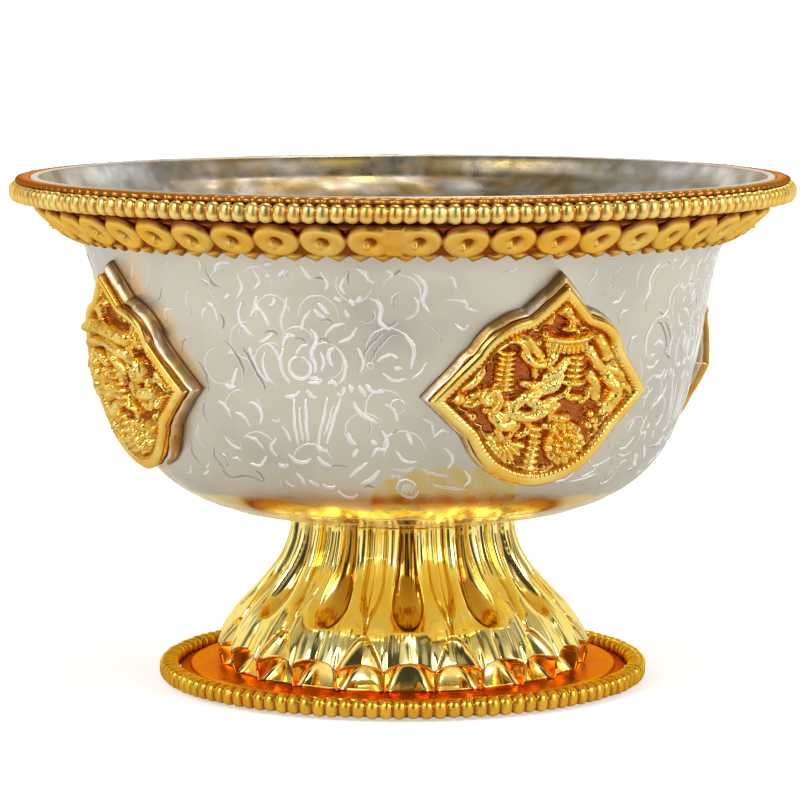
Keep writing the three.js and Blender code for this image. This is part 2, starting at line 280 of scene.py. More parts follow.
@dataclass(frozen=True)
class MetalFinish:
    """Worked metal: two tones in soft patches, a darker tone laid on point by point, and a fine grain. That
    darker tone is mostly painted shade and painted dark reflection, partly the metal's own darker tone.
    """

    name: str
    colour: Colour
    patch: Colour
    shade_and_tone: Colour
    roughness: float
    roughness_spread: float
    patch_size: float
    grain_size: float
    grain_depth: float
    gilding: Colour | None = None
    edge_tint: Colour = (1.0, 1.0, 1.0, 1.0)
    dull: float = 0.0
    polish: float = 0.45
    wear_scale: float = 0.35

    def material(self) -> bpy.types.Material:
        """The Blender material of this finish, made once."""
        found = bpy.data.materials.get(self.name)
        if found is not None:
            return found
        material = bpy.data.materials.new(self.name)
        shader = Shader(material)
        place = shader.add("TexCoord").outputs["Object"]
        patches = shader.noise(place, self.patch_size, 4.0)
        colour = shader.blend(shader.spread(patches, 0.4, 0.62, 0.0, 1.0), self.colour, self.patch)
        if self.gilding is not None:
            colour = shader.blend(shader.point_value("gilding"), colour, self.gilding)
        # Painted shade and painted dark reflection, with some real darker tone: each point's value blends in
        # the dark colour.
        colour = shader.blend(shader.point_value("shade_and_tone"), colour, self.shade_and_tone)
        wear = shader.noise(place, self.patch_size * self.wear_scale, 3.0)
        low, high = self.roughness - self.roughness_spread, self.roughness + self.roughness_spread
        roughness = shader.spread(wear, 0.35, 0.65, low, high)
        if self.gilding is not None:
            drop = -self.roughness * self.polish
            polish = shader.maths("MULTIPLY", shader.point_value("gilding"), drop)
            roughness = shader.maths("ADD", roughness, polish)
        if self.dull > 0.0:
            film = shader.maths("MULTIPLY", shader.point_value("shade_and_tone"), self.dull)
            roughness = shader.maths("ADD", roughness, film)
        grain = shader.noise(place, self.grain_size, 5.0)
        relief = {"Strength": 1.0, "Distance": self.grain_depth, "Height": grain}
        normal = shader.add("Bump", relief).outputs["Normal"]
        inputs = {"Base Color": colour, "Roughness": roughness, "Normal": normal, "Metallic": 1.0}
        inputs["Specular Tint"] = self.edge_tint
        surface = shader.add("BsdfPrincipled", inputs)
        shader.add("OutputMaterial", {"Surface": surface.outputs[0]})
        return material


SATIN_SILVER = MetalFinish(
    "satin_silver", (0.69, 0.64, 0.525, 1), (0.61, 0.57, 0.475, 1), (0.42, 0.32, 0.13, 1),
    roughness=0.34, roughness_spread=0.05, patch_size=0.014, grain_size=0.0009, grain_depth=0.00001,
    gilding=(0.97, 0.73, 0.2, 1),
)
# Polished inside: the dark patch tone is a painted reflection, a mottle standing in for the dark room that
# the planished silver reflects; the dark tone paints the dark reflection at the back, and the brown edge
# tint darkens grazing reflections for the same room.
POLISHED_SILVER = MetalFinish(
    "polished_silver", (0.8, 0.78, 0.73, 1), (0.45, 0.42, 0.36, 1), (0.31, 0.21, 0.085, 1),
    roughness=0.27, roughness_spread=0.08, patch_size=0.007, grain_size=0.0025, grain_depth=0.00006,
    gilding=(0.92, 0.66, 0.16, 1), edge_tint=(0.5, 0.4, 0.26, 1), dull=0.12,
)
# Line silver: its near-white colour is a painted glint, brighter than the silver that the lines are cut in.
GLINT_LINE_SILVER = MetalFinish(
    "chased_lines_painted_glint", (1.0, 0.99, 0.965, 1), (0.99, 0.975, 0.94, 1), (0.26, 0.22, 0.16, 1),
    roughness=0.55, roughness_spread=0.08, patch_size=0.004, grain_size=0.0006, grain_depth=0.00001,
)
# Its dark tone paints the shade on the strip, at its foot on the silver and under the relief.
STRIP_SILVER = MetalFinish(
    "hammered_strip", (0.88, 0.82, 0.66, 1), (0.78, 0.56, 0.22, 1), (0.24, 0.11, 0.025, 1),
    roughness=0.38, roughness_spread=0.08, patch_size=0.006, grain_size=0.0009, grain_depth=0.00004,
    edge_tint=(1.0, 0.95, 0.85, 1),
)
# Its dark orange tone paints shade in the gutters, creases and recesses, under the lip and inside the foot.
FOOT_GILT = MetalFinish(
    "foot_gilt", (1.0, 0.83, 0.31, 1), (0.99, 0.74, 0.18, 1), (0.4, 0.16, 0.006, 1),
    roughness=0.09, roughness_spread=0.04, patch_size=0.006, grain_size=0.0016, grain_depth=0.00002,
    gilding=(0.9, 0.55, 0.36, 1), edge_tint=(1.0, 0.85, 0.45, 1),
)
# Bead finishes: their dark tone paints shade in the cuts between beads, together with a random soil on each
# bead.
BEAD_GILT = MetalFinish(
    "bead_gilt", (1.0, 0.78, 0.26, 1), (1.0, 0.62, 0.13, 1), (0.46, 0.15, 0.02, 1),
    roughness=0.3, roughness_spread=0.05, patch_size=0.009, grain_size=0.0007, grain_depth=0.00002,
    edge_tint=(1.0, 0.8, 0.45, 1),
)
BASE_BEAD_GILT = MetalFinish(
    "base_bead_gilt", (0.95, 0.6, 0.07, 1), (0.92, 0.48, 0.05, 1), (0.34, 0.09, 0.006, 1),
    roughness=0.28, roughness_spread=0.05, patch_size=0.009, grain_size=0.0007, grain_depth=0.00002,
    edge_tint=(1.0, 0.7, 0.25, 1),
)
# Its dark tone paints shade along the strip's edge and in the nicks, and over the back half of the rim.
CAP_GILT = MetalFinish(
    "cap_gilt", (0.8, 0.43, 0.11, 1), (0.8, 0.32, 0.06, 1), (0.34, 0.13, 0.02, 1),
    roughness=0.34, roughness_spread=0.06, patch_size=0.03, grain_size=0.0009, grain_depth=0.00002,
    edge_tint=(0.75, 0.34, 0.1, 1),
)
# Its dark red-brown tone paints shade between, round and behind the rings, and is partly the brown-red of
# the sheet behind them.
FRIEZE_GILT = MetalFinish(
    "frieze_gilt", (0.93, 0.62, 0.14, 1), (0.95, 0.55, 0.08, 1), (0.3, 0.07, 0.014, 1),
    roughness=0.36, roughness_spread=0.07, patch_size=0.009, grain_size=0.0006, grain_depth=0.00003,
    edge_tint=(1.0, 0.8, 0.4, 1),
)
# Its red-brown tone paints shade in the ground between the chased forms, on the border's flanks and on the
# back.
RELIEF_GILT = MetalFinish(
    "relief_gilt", (0.97, 0.72, 0.2, 1), (0.94, 0.56, 0.09, 1), (0.4, 0.085, 0.02, 1),
    roughness=0.21, roughness_spread=0.06, patch_size=0.004, grain_size=0.0006, grain_depth=0.00003,
    edge_tint=(1.0, 0.85, 0.5, 1),
)
# Its deep orange tone paints the foot's shadow round the foot's edge, the foot's orange reflection at the
# front and shade in the ground by the beads.
PLATE_GILT = MetalFinish(
    "plate_gilt", (0.95, 0.42, 0.045, 1), (0.92, 0.35, 0.06, 1), (0.62, 0.17, 0.015, 1),
    roughness=0.32, roughness_spread=0.06, patch_size=0.007, grain_size=0.0012, grain_depth=0.00003,
    edge_tint=(0.85, 0.38, 0.1, 1),
)
TURNED_BRASS = MetalFinish(
    "turned_brass", (0.62, 0.44, 0.17, 1), (0.55, 0.36, 0.13, 1), (0.3, 0.17, 0.05, 1),
    roughness=0.38, roughness_spread=0.08, patch_size=0.004, grain_size=0.0005, grain_depth=0.00002,
)


class Body:
    """Points in millimetres and the faces between them, with values that the finish reads."""

    def __init__(self, points: Array, faces: list[Array], values: dict[str, Array] | None = None) -> None:
        """Keeps the shape and turns its faces outwards.

        Args:
            points: One row of three numbers a point.
            faces: Arrays of point numbers, each with faces of one number of corners.
            values: Name of a finish value to its number at every point.
        """
        self.points = np.asarray(points, float).reshape(-1, 3)
        self.faces = faces
        self.values = {} if values is None else values
        if self.volume() < 0:
            self.faces = [group[:, ::-1] for group in faces]

    def volume(self) -> float:
        """Six times the volume, below 0 where the faces look inwards."""
        total = 0.0
        for group in self.faces:
            first = self.points[group[:, 0]]
            for k in range(1, group.shape[1] - 1):
                second, third = self.points[group[:, k]], self.points[group[:, k + 1]]
                total += float(np.einsum("ij,ij->", first, np.cross(second, third)))
        return total

    def piece(self, name: str, finishes: list[MetalFinish], slot: str, nodes: list[str],
              face_finish: Array | None = None) -> bpy.types.Object:
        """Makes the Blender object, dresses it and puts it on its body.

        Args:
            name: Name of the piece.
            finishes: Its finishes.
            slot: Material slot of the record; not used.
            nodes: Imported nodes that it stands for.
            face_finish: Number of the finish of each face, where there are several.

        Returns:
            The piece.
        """
        mesh = bpy.data.meshes.new(name)
        faces = [face for group in self.faces for face in group.tolist()]
        mesh.from_pydata((self.points * MM).tolist(), [], faces)
        mesh.shade_smooth()
        for key in ("shade_and_tone", "gilding"):
            values = np.broadcast_to(self.values.get(key, 0.0), len(self.points))
            attribute = mesh.attributes.new(key, "FLOAT", "POINT")
            attribute.data.foreach_set("value", values.astype(np.float32))
        for finish in finishes:
            mesh.materials.append(finish.material())
        if face_finish is not None:
            mesh.polygons.foreach_set("material_index", face_finish.astype(np.int32))
        mesh.update()
        made = put(name, mesh)
        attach(made, BODY)
        if nodes:
            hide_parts(*nodes)
        LOG.info("%s: %d points", name, len(self.points))
        return made


def round_body(radius: Array, height: Array, angles: Array, hubs: bool,
               values: dict[str, Array] | None = None) -> Body:
    """Body round the axis, from radii and heights in rows along its section.

    Args:
        radius: Radius of each point, one row a step of the section, one column an angle.
        height: Height of each point, laid out alike.
        angles: Angle of each column, in radians.
        hubs: Whether the section starts and ends on the axis, or else closes on itself.
        values: Finish values, laid out alike.

    Returns:
        The body.
    """
    rows, columns = radius.shape
    points = np.stack([radius * np.cos(angles), radius * np.sin(angles), height], axis=-1).reshape(-1, 3)
    flat = {key: np.asarray(value, float).reshape(-1) for key, value in (values or {}).items()}
    faces = [grid_faces(rows, columns, wrap_rows=not hubs)]
    if hubs:
        centres = [[0.0, 0.0, height[0].mean()], [0.0, 0.0, height[-1].mean()]]
        points = np.vstack([points, centres])
        flat = {key: np.append(value, [value[0], value[-1]]) for key, value in flat.items()}
        faces.append(fan_faces(0, columns, rows * columns, True))
        faces.append(fan_faces((rows - 1) * columns, columns, rows * columns + 1, False))
    return Body(points, faces, flat)


def fan_faces(first: int, count: int, hub: int, backwards: bool) -> Array:
    """Triangles from a loop of points to one hub point.

    Args:
        first: Number of the loop's first point.
        count: Points in the loop.
        hub: Number of the hub point.
        backwards: Whether the triangles turn against the loop.

    Returns:
        One row of three point numbers a face.
    """
    here = first + np.arange(count)
    after = first + (np.arange(count) + 1) % count
    pair = [after, here] if backwards else [here, after]
    return np.stack([*pair, np.full(count, hub)], axis=-1)


def even_angles(count: int) -> Array:
    """Angles of `count` even steps round the axis, in radians."""
    return np.arange(count) * (2 * math.pi / count)


class Ripple:
    """Slow unevenness of hand-raised metal, the same each run."""

    def __init__(self, seed: int, wave: float, depth: float, count: int = 14) -> None:
        """Draws the waves.

        Args:
            seed: Seed of the draw.
            wave: Middle length of a wave, in millimetres.
            depth: Depth of the sum, in millimetres.
            count: Number of waves.
        """
        draw = np.random.default_rng(seed)
        heading = draw.uniform(0, 2 * math.pi, count)
        length = wave * draw.uniform(0.6, 1.7, count)
        self.across = 2 * math.pi * np.cos(heading) / length
        self.up = 2 * math.pi * np.sin(heading) / length
        self.phase = draw.uniform(0, 2 * math.pi, count)
        self.depth = depth * math.sqrt(2.0 / count)

    def at(self, x: Array, y: Array, z: Array) -> Array:
        """Depth of the ripple at points in space."""
        total = np.zeros(np.broadcast(x, y, z).shape)
        for across, up, phase in zip(self.across, self.up, self.phase):
            total += np.cos(across * x + up * z + phase) * np.cos(across * y + phase)
        return total * self.depth

    def around(self, radius: Array, angles: Array, z: Array) -> Array:
        """Depth of the ripple at points round the axis."""
        return self.at(radius * np.cos(angles), radius * np.sin(angles), z)


@dataclass
class SilverWall:
    """Outside of the silver wall: a full belly up to the neck, then a flare out to the lip."""

    seat_radius: float = 16.0
    under_reach: float = 23.5
    under_rise: float = 1.3
    belly_inset: float = 3.5
    belly_height: float = 12.3
    neck_radius: float = 44.6
    neck_height: float = 32.4
    flare_swell: float = 1.7
    flare_share: float = 0.56
    lip_thickness: float = 2.15
    probe: float = 0.5

    def __post_init__(self) -> None:
        """Samples the belly and the flare."""
        self.bottom = low_mm("bowl_shell").z
        self.lip_top = high_mm("bowl_shell").z
        self.lip_radius = high_mm("bowl_shell").x
        self.lip_level = self.lip_top - self.lip_thickness
        neck = self.bottom + self.neck_height
        belly = [
            (self.seat_radius, self.bottom),
            (self.seat_radius + self.under_reach, self.bottom + self.under_rise),
            (self.neck_radius - self.belly_inset, self.bottom + self.belly_height),
            (self.neck_radius, neck),
        ]
        turn = (self.neck_radius + self.flare_swell, neck + self.flare_share * (self.lip_level - neck))
        flare = [(self.neck_radius, neck), turn, turn, (self.lip_radius, self.lip_level)]
        line = np.vstack([bezier(belly, 121), bezier(flare, 121)[1:]])
        self.radii, self.heights = line[:, 0], line[:, 1]
        self.run = np.concatenate([[0], np.cumsum(np.hypot(*np.diff(line, axis=0).T))])

    def radius(self, z: Array) -> Array:
        """Radius of the wall at a height."""
        return np.interp(z, self.heights, self.radii)

    def off(self, z: Array, out: Array) -> tuple[Array, Array]:
        """Radius and height of points that stand off the wall.

        Args:
            z: Height of the point on the wall.
            out: Distance from the wall, along its normal.

        Returns:
            Radius and height.
        """
        low = np.maximum(z - self.probe, self.bottom)
        high = np.minimum(z + self.probe, self.lip_level)
        slope = (self.radius(high) - self.radius(low)) / (high - low)
        length = np.hypot(1.0, slope)
        return self.radius(z) + out / length, z - out * slope / length

    def place(self, turn: float, across: Array, z: Array, out: Array) -> Array:
        """Points that stand off the wall.

        Args:
            turn: Degrees from the front, towards +X.
            across: Distance along the wall from there.
            z: Height of the point on the wall.
            out: Distance from the wall.

        Returns:
            One row of three numbers a point.
        """
        radius, height = self.off(z, out)
        angle = math.radians(turn - 90.0) + across / self.radius(z)
        return np.stack([radius * np.cos(angle), radius * np.sin(angle), height], axis=-1)


@dataclass
class SilverBowl:
    """Raised silver bowl: satin and partly gilt outside, planished and polished inside."""

    wall: SilverWall
    thickness: float = 1.1
    columns: int = 480
    gilt_level: float = 29.7
    gilt_wave: float = 0.5
    gilt_ripple: float = 0.2
    gilt_edge: tuple[float, float] = (0.5, 0.3)
    leaf_turn: float = 9.5
    leaf_level: float = 31.2
    leaf_half_width: float = 11.4
    leaf_height: float = 5.0
    leaf_lobe: float = 0.16
    leaf_cover: float = 0.62
    leaf_cloud: float = 0.2
    leaf_dark: float = 0.6
    leaf_margin: float = 0.6
    gold_patch_places: tuple = ((191.0, 7.0, 72.9, 0.9), (160.0, 7.0, 72.8, 0.7), (187.0, 2.6, 70.4, 0.7))
    dark_reflection_edge: tuple[float, float] = (34.0, 58.0)
    dark_reflection_level: float = 0.78
    dark_reflection_cloud: float = 0.9
    dark_reflection_wander: float = 30.0
    cloud_wave: float = 9.0
    cloud_depth: float = 0.3
    outside_rows: int = 130
    inside_rows: int = 110
    inside_end: float = 0.96
    lip_in: tuple = (0.0, 0.0, 0.04, 0.2, 0.5, 0.85, 1.06, 1.3, 1.6, 1.95, 2.35)
    lip_down: tuple = (1.2, 0.5, 0.18, 0.03, 0.0, 0.04, 0.15, 0.45, 1.0, 1.7, 2.4)
    lip_outer_points: int = 6
    planish_wave: float = 5.0
    planish_depth: float = 0.075
    plain_rows: int = 3
    outside_dents: float = 0.3

    def gilding(self, angles: Array, z: Array) -> Array:
        """Share of gilding: a zone round the foot, and a lobed leaf in each quarter."""
        edge = self.gilt_level + self.gilt_wave * np.sin(angles * 5.0)
        edge = edge + self.gilt_ripple * np.sin(angles * 23.0)
        zone = 1.0 - ease(z, edge - self.gilt_edge[0], edge + self.gilt_edge[1])
        quarter = (np.degrees(angles) + 90.0 - self.leaf_turn + 45.0) % 90.0 - 45.0
        across = np.radians(quarter) * self.wall.radius(z)
        lobes = 1.0 - self.leaf_lobe + self.leaf_lobe * np.abs(np.cos(across * 0.72))
        reach = np.hypot(across / self.leaf_half_width, (z - self.leaf_level) / self.leaf_height)
        cover = self.leaf_cover + self.leaf_cloud * np.cos(across * 1.9 + z)
        leaf = (1.0 - ease(reach / lobes, 0.95, 1.03)) * cover
        return np.maximum(zone, leaf)

    def gold_patches_inside(self, angles: Array, z: Array) -> Array:
        """Share of gold patches inside, at the back under the lip."""
        turn = (np.degrees(angles) + 90.0) % 360.0
        share = np.zeros(np.broadcast(turn, z).shape)
        for middle, half_width, level, half_height in self.gold_patch_places:
            share = np.maximum(share, bump(turn - middle, half_width) * bump(z - level, half_height))
        return share

    def dark_reflection(self, angles: Array, cloud: Array) -> Array:
        """Share of painted dark reflection at the back of the inside, uneven along its edge: a brown tone
        standing in for the dark room that the polished silver reflects.

        Args:
            angles: Angle of each column, in radians.
            cloud: Slow unevenness at each point.

        Returns:
            The share, which may pass 1.
        """
        behind = np.abs((np.degrees(angles) + 90.0) % 360.0 - 180.0)
        reach = 1.0 - ease(behind + self.dark_reflection_wander * cloud, *self.dark_reflection_edge)
        return reach * (self.dark_reflection_level + self.dark_reflection_cloud * cloud)

    def build(self) -> None:
        """Makes the bowl as one closed skin, outside and inside."""
        wall = self.wall
        angles = even_angles(self.columns)
        run_out = np.linspace(0, wall.run[-1], self.outside_rows)
        run_in = np.linspace(wall.run[-1] * self.inside_end, 0, self.inside_rows)
        outside = np.interp(run_out, wall.run, wall.heights)
        inside = np.interp(run_in, wall.run, wall.heights)
        in_radius, in_height = wall.off(inside, -self.thickness)
        edge = wall.lip_radius - np.array(self.lip_in)
        edge_height = wall.lip_top - np.array(self.lip_down)
        first_inside = len(outside) + len(edge)
        first_polished = len(outside) + self.lip_outer_points
        radius = all_round(np.concatenate([wall.radius(outside), edge, in_radius]), self.columns)
        height = all_round(np.concatenate([outside, edge_height, in_height]), self.columns)
        dents = Ripple(11, self.planish_wave, self.planish_depth).around(radius, angles, height)
        fade = np.zeros(len(radius))
        fade[first_inside + self.plain_rows:] = 1.0
        fade[:len(outside)] = self.outside_dents
        radius = radius + dents * fade[:, None]
        gilding = self.gilding(angles[None, :], height)
        gilding[len(outside):] = self.gold_patches_inside(angles[None, :], height[len(outside):])
        cloud = Ripple(23, self.cloud_wave, self.cloud_depth).around(radius, angles, height * 3.0)
        # Painted dark reflection: brown laid over the back of the inside, where the polished silver reflects
        # the dark room.
        dark_reflection = unit(self.dark_reflection(angles, cloud) * (1.0 - gilding))
        dark_reflection[:first_polished] = 0.0
        leaf = gilding * (height > self.gilt_level + self.leaf_margin)
        leaf[len(outside):] = 0.0
        values = {"gilding": gilding, "shade_and_tone": np.maximum(leaf * self.leaf_dark, dark_reflection)}
        body = round_body(radius, height, angles, hubs=True, values=values)
        row = np.concatenate([
            np.repeat(np.arange(len(height) - 1), self.columns),
            np.zeros(self.columns), np.full(self.columns, len(height)),
        ])
        inner = (row >= first_polished).astype(int)
        body.piece("silver_bowl", [SATIN_SILVER, POLISHED_SILVER], "silver", ["bowl_shell"], inner)


class LineWork:
    """Chased lines on the silver: each is a cut between two burrs, tapered at its ends, coloured near white
    to paint the glint of the cut.

    The section runs over one burr, the cut and the other burr, and back under the silver. Painted shade
    darkens the cut, one outer side and the underside, with the patina of the cut.
    """

    section_side = (-0.5, -0.2, 0.12, 0.28, 0.5, 0.0)
    section_burr = (0.0, 1.0, 0.0, 0.7, 0.0, 0.0)
    section_lift = (-0.02, 0.0, 0.01, 0.0, -0.02, -0.12)
    section_shade_and_patina = (0.4, 0.0, 1.0, 0.5, 1.0, 0.0)

    def __init__(self, wall: SilverWall) -> None:
        """Starts with no lines."""
        self.wall = wall
        self.points: list[Array] = []
        self.faces: list[Array] = []
        self.caps: list[Array] = []
        self.shade_and_tone: list[Array] = []
        self.count = 0

    def line(self, turn: float, path: Array, width: float = 0.5, shade_and_patina: float = 0.3,
             burr: float = 0.12) -> None:
        """Adds one line.

        Args:
            turn: Degrees from the front, towards +X, of the place that the path is drawn from.
            path: Across and height of its points.
            width: Full width over the burrs.
            shade_and_patina: How dark its bottom and one side are, from 0 to 1: painted shade, with the
                patina of the cut.
            burr: How far the burrs stand up.
        """
        if len(path) < 4:
            path = smooth_path(path, 5)
        along = np.gradient(path, axis=0)
        along /= np.maximum(np.hypot(along[:, 0], along[:, 1]), 1e-6)[:, None]
        normal = np.column_stack([-along[:, 1], along[:, 0]])
        taper = np.sin(np.linspace(0.12, math.pi - 0.12, len(path))) ** 0.45
        side = np.array(self.section_side) * width
        rise = np.array(self.section_burr) * burr + np.array(self.section_lift)
        corners = len(side)
        spot = path[:, None, :] + normal[:, None, :] * (side[None, :, None] * taper[:, None, None])
        out = rise[None, :] * taper[:, None]
        self.points.append(self.wall.place(turn, spot[..., 0], spot[..., 1], out).reshape(-1, 3))
        # Painted shade in the cut, on one side of the line and under the silver, with the cut's patina.
        dark = np.array(self.section_shade_and_patina) * shade_and_patina
        dark[-1] = 1.0
        self.shade_and_tone.append(np.tile(dark, len(path)))
        self.faces.append(grid_faces(len(path), corners, wrap_rows=False) + self.count)
        cap = np.arange(corners)
        self.caps.append(np.stack([cap[::-1], cap + (len(path) - 1) * corners]) + self.count)
        self.count += len(path) * corners

    def build(self) -> None:
        """Makes one piece of all the lines."""
        faces = [np.vstack(self.faces), np.vstack(self.caps)]
        values = {"shade_and_tone": np.concatenate(self.shade_and_tone)}
        body = Body(np.vstack(self.points), faces, values)
        body.piece("silver_chasing", [GLINT_LINE_SILVER], "silver", [])


@dataclass
class LotusPanel:
    """Drawing of one quarter of the bowl between two plaques: a lotus, its stems and clouds.

    Strokes are lists of places: millimetres across from the middle of the quarter, and height.
    """

    lines: LineWork
    turn: float
    seed: int
    mirrored: bool
    low: float = 32.4
    high: float = 64.2
    bold: float = 1.35
    faint: float = 0.17
    burr: float = 0.24
    wobble: float = 0.04
    room: tuple[float, float] = (-15.5, 16.5)
    waist: float = 8.0
    waist_height: float = 46.5
    widening: float = 0.62
    clear: float = 1.25

    def draw(self, path: Array | list[tuple[float, float]], width: float = 0.46, shade_and_patina: float = 0.1) -> None:
        """Adds a path of this panel, mirrored if the panel is, with a slight hand wobble."""
        points = np.array(path, float)
        points[:, 0] *= -1.0 if self.mirrored else 1.0
        points = points + self.shake.normal(0.0, self.wobble, points.shape)
        points[:, 1] = np.clip(points[:, 1], self.low - 2.0, self.high)
        self.lines.line(self.turn, points, width * self.bold, shade_and_patina, self.burr * width)
        self.drawn.append(np.array(path, float))

    def outlines(self) -> None:
        """Faint round outlines of petals and clouds, that the bold strokes lie on."""
        for x, y, radius, start, end in (
            (-4.1, 50.5, 2.7, 60, 265), (3.6, 51.0, 2.5, -85, 150), (-0.2, 53.2, 2.4, 15, 165),
            (-7.9, 53.4, 2.6, 80, 290), (-3.6, 57.4, 2.5, 0, 200), (3.0, 57.2, 2.8, -10, 190),
            (12.5, 52.4, 3.2, -70, 200), (11.4, 44.4, 2.7, 20, 250), (13.4, 38.4, 2.9, 0, 220),
            (8.4, 41.0, 2.8, 30, 230), (-9.4, 43.4, 3.0, -20, 200), (-7.6, 37.4, 3.1, 0, 190),
            (0.4, 36.4, 2.8, 10, 170), (-12.7, 49.6, 2.6, 100, 320), (14.6, 60.4, 2.6, -60, 160),
            (-10.6, 60.6, 2.8, 20, 240), (8.2, 61.6, 2.4, 150, 350), (-5.6, 61.6, 2.2, -20, 150),
        ):
            self.draw(arc(x, y, radius, start, end, 26), self.faint, 0.15)

    def strokes(self, paths: tuple, width: float = 0.46, shade_and_patina: float = 0.1) -> None:
        """Adds several smooth strokes of one weight."""
        for path in paths:
            self.draw(smooth_path(path, 6), width, shade_and_patina)

    def blossom(self) -> None:
        """Lotus blossom with a round heart between broad petals."""
        self.draw(arc(-0.1, 49.9, 1.55, 95, 445, 24), 0.5)
        self.strokes((
            [(-6.0, 53.1), (-4.7, 53.8), (-3.7, 54.7)],
            [(-2.4, 52.6), (-2.1, 53.6), (-1.5, 54.4), (-0.5, 54.2)],
            [(1.8, 55.4), (2.5, 54.4), (2.4, 53.4), (1.9, 52.6), (1.7, 51.5), (2.2, 50.4), (2.0, 49.2)],
            [(1.2, 48.4), (2.1, 48.5), (2.6, 48.0), (1.0, 47.9)],
            [(4.6, 50.2), (4.1, 51.4), (4.3, 52.4), (5.0, 52.8)],
            [(-2.7, 45.9), (-1.5, 45.8), (-0.3, 46.6)], [(0.6, 46.9), (1.3, 46.0), (2.0, 45.8)],
            [(3.7, 47.9), (4.5, 48.1), (4.9, 47.5)], [(4.9, 46.3), (5.7, 46.6), (6.1, 47.4)],
            [(-2.4, 52.6), (-2.9, 50.8), (-2.6, 49.0), (-1.6, 47.6)],
        ), 0.52)
        self.strokes((
            [(-5.2, 51.8), (-5.6, 50.2), (-5.0, 48.4), (-3.6, 47.2)],
            [(-4.6, 53.2), (-3.4, 52.0), (-3.0, 50.4)],
            [(-7.4, 52.6), (-7.1, 50.9), (-6.2, 49.0), (-5.0, 47.6)],
            [(5.8, 52.2), (6.4, 50.6), (6.0, 48.8), (5.2, 47.8)],
            [(2.9, 49.4), (3.4, 50.8), (3.0, 52.2)], [(-0.6, 51.6), (0.2, 52.8), (1.3, 53.2)],
            [(-2.2, 54.8), (-2.4, 56.4), (-1.6, 58.4), (-1.4, 59.6)],
            [(0.4, 54.9), (0.9, 56.6), (2.0, 58.0)], [(-4.2, 55.4), (-5.0, 57.2), (-6.4, 58.8)],
            [(3.6, 54.2), (4.8, 55.6), (6.6, 56.2)],
            [(-6.6, 54.0), (-8.2, 55.2), (-8.9, 56.9), (-8.3, 58.6)],
            [(5.6, 53.6), (7.2, 54.2), (8.3, 55.8)],
        ), 0.4)
        self.strokes((
            [(-5.0, 54.6), (-3.8, 54.8), (-3.0, 54.3)], [(-0.4, 54.0), (0.4, 53.9), (0.9, 53.4)],
            [(3.3, 56.4), (4.2, 56.6), (5.0, 56.2)], [(0.2, 51.2), (0.8, 50.9), (1.1, 50.4)],
            [(2.6, 53.8), (3.6, 53.9), (4.4, 53.4)],
        ), 0.4, 1.0)

    def stems(self) -> None:
        """Two pairs of stems and the tuft that they rise from."""
        self.strokes((
            [(-1.3, 45.6), (-1.5, 42.4), (-1.4, 38.8)], [(0.4, 45.6), (0.2, 42.4), (0.1, 39.4)],
            [(3.5, 45.8), (2.8, 43.2), (1.9, 40.5), (1.5, 38.6)],
            [(5.6, 46.4), (4.6, 44.0), (3.4, 41.0), (2.7, 39.2)],
        ), 0.42)
        self.strokes((
            [(-0.6, 44.4), (-0.7, 41.8), (-0.6, 39.4)], [(4.2, 44.8), (3.4, 42.4), (2.5, 40.4)],
            [(-3.6, 41.6), (-2.8, 40.6), (-2.5, 39.2)], [(-4.9, 42.4), (-4.2, 42.2), (-3.6, 42.6)],
        ), 0.32)
        self.strokes((
            [(1.3, 39.0), (1.9, 38.4), (2.8, 38.3)], [(1.2, 37.4), (1.9, 36.4), (2.9, 36.1)],
            [(5.1, 34.5), (6.3, 35.3), (7.9, 36.6)], [(6.5, 33.5), (8.1, 34.2), (9.5, 35.6)],
            [(-0.9, 33.9), (-0.2, 33.3), (0.5, 33.0)], [(-5.0, 36.0), (-4.2, 35.7), (-3.4, 36.0)],
            [(-3.2, 37.6), (-2.2, 36.6), (-1.0, 36.4), (0.2, 37.0)],
            [(-2.6, 34.8), (-1.8, 34.0), (-1.6, 33.0)],
        ), 0.5)
        self.strokes((
            [(2.7, 36.0), (4.0, 36.1), (5.2, 36.0)],
            [(-15.0, 34.2), (-13.6, 33.2), (-10.6, 33.7), (-8.4, 33.1)],
            [(-9.0, 34.8), (-8.2, 33.9), (-8.1, 32.9)], [(6.8, 32.9), (7.6, 33.1), (8.2, 32.9)],
        ), 0.42, 1.0)

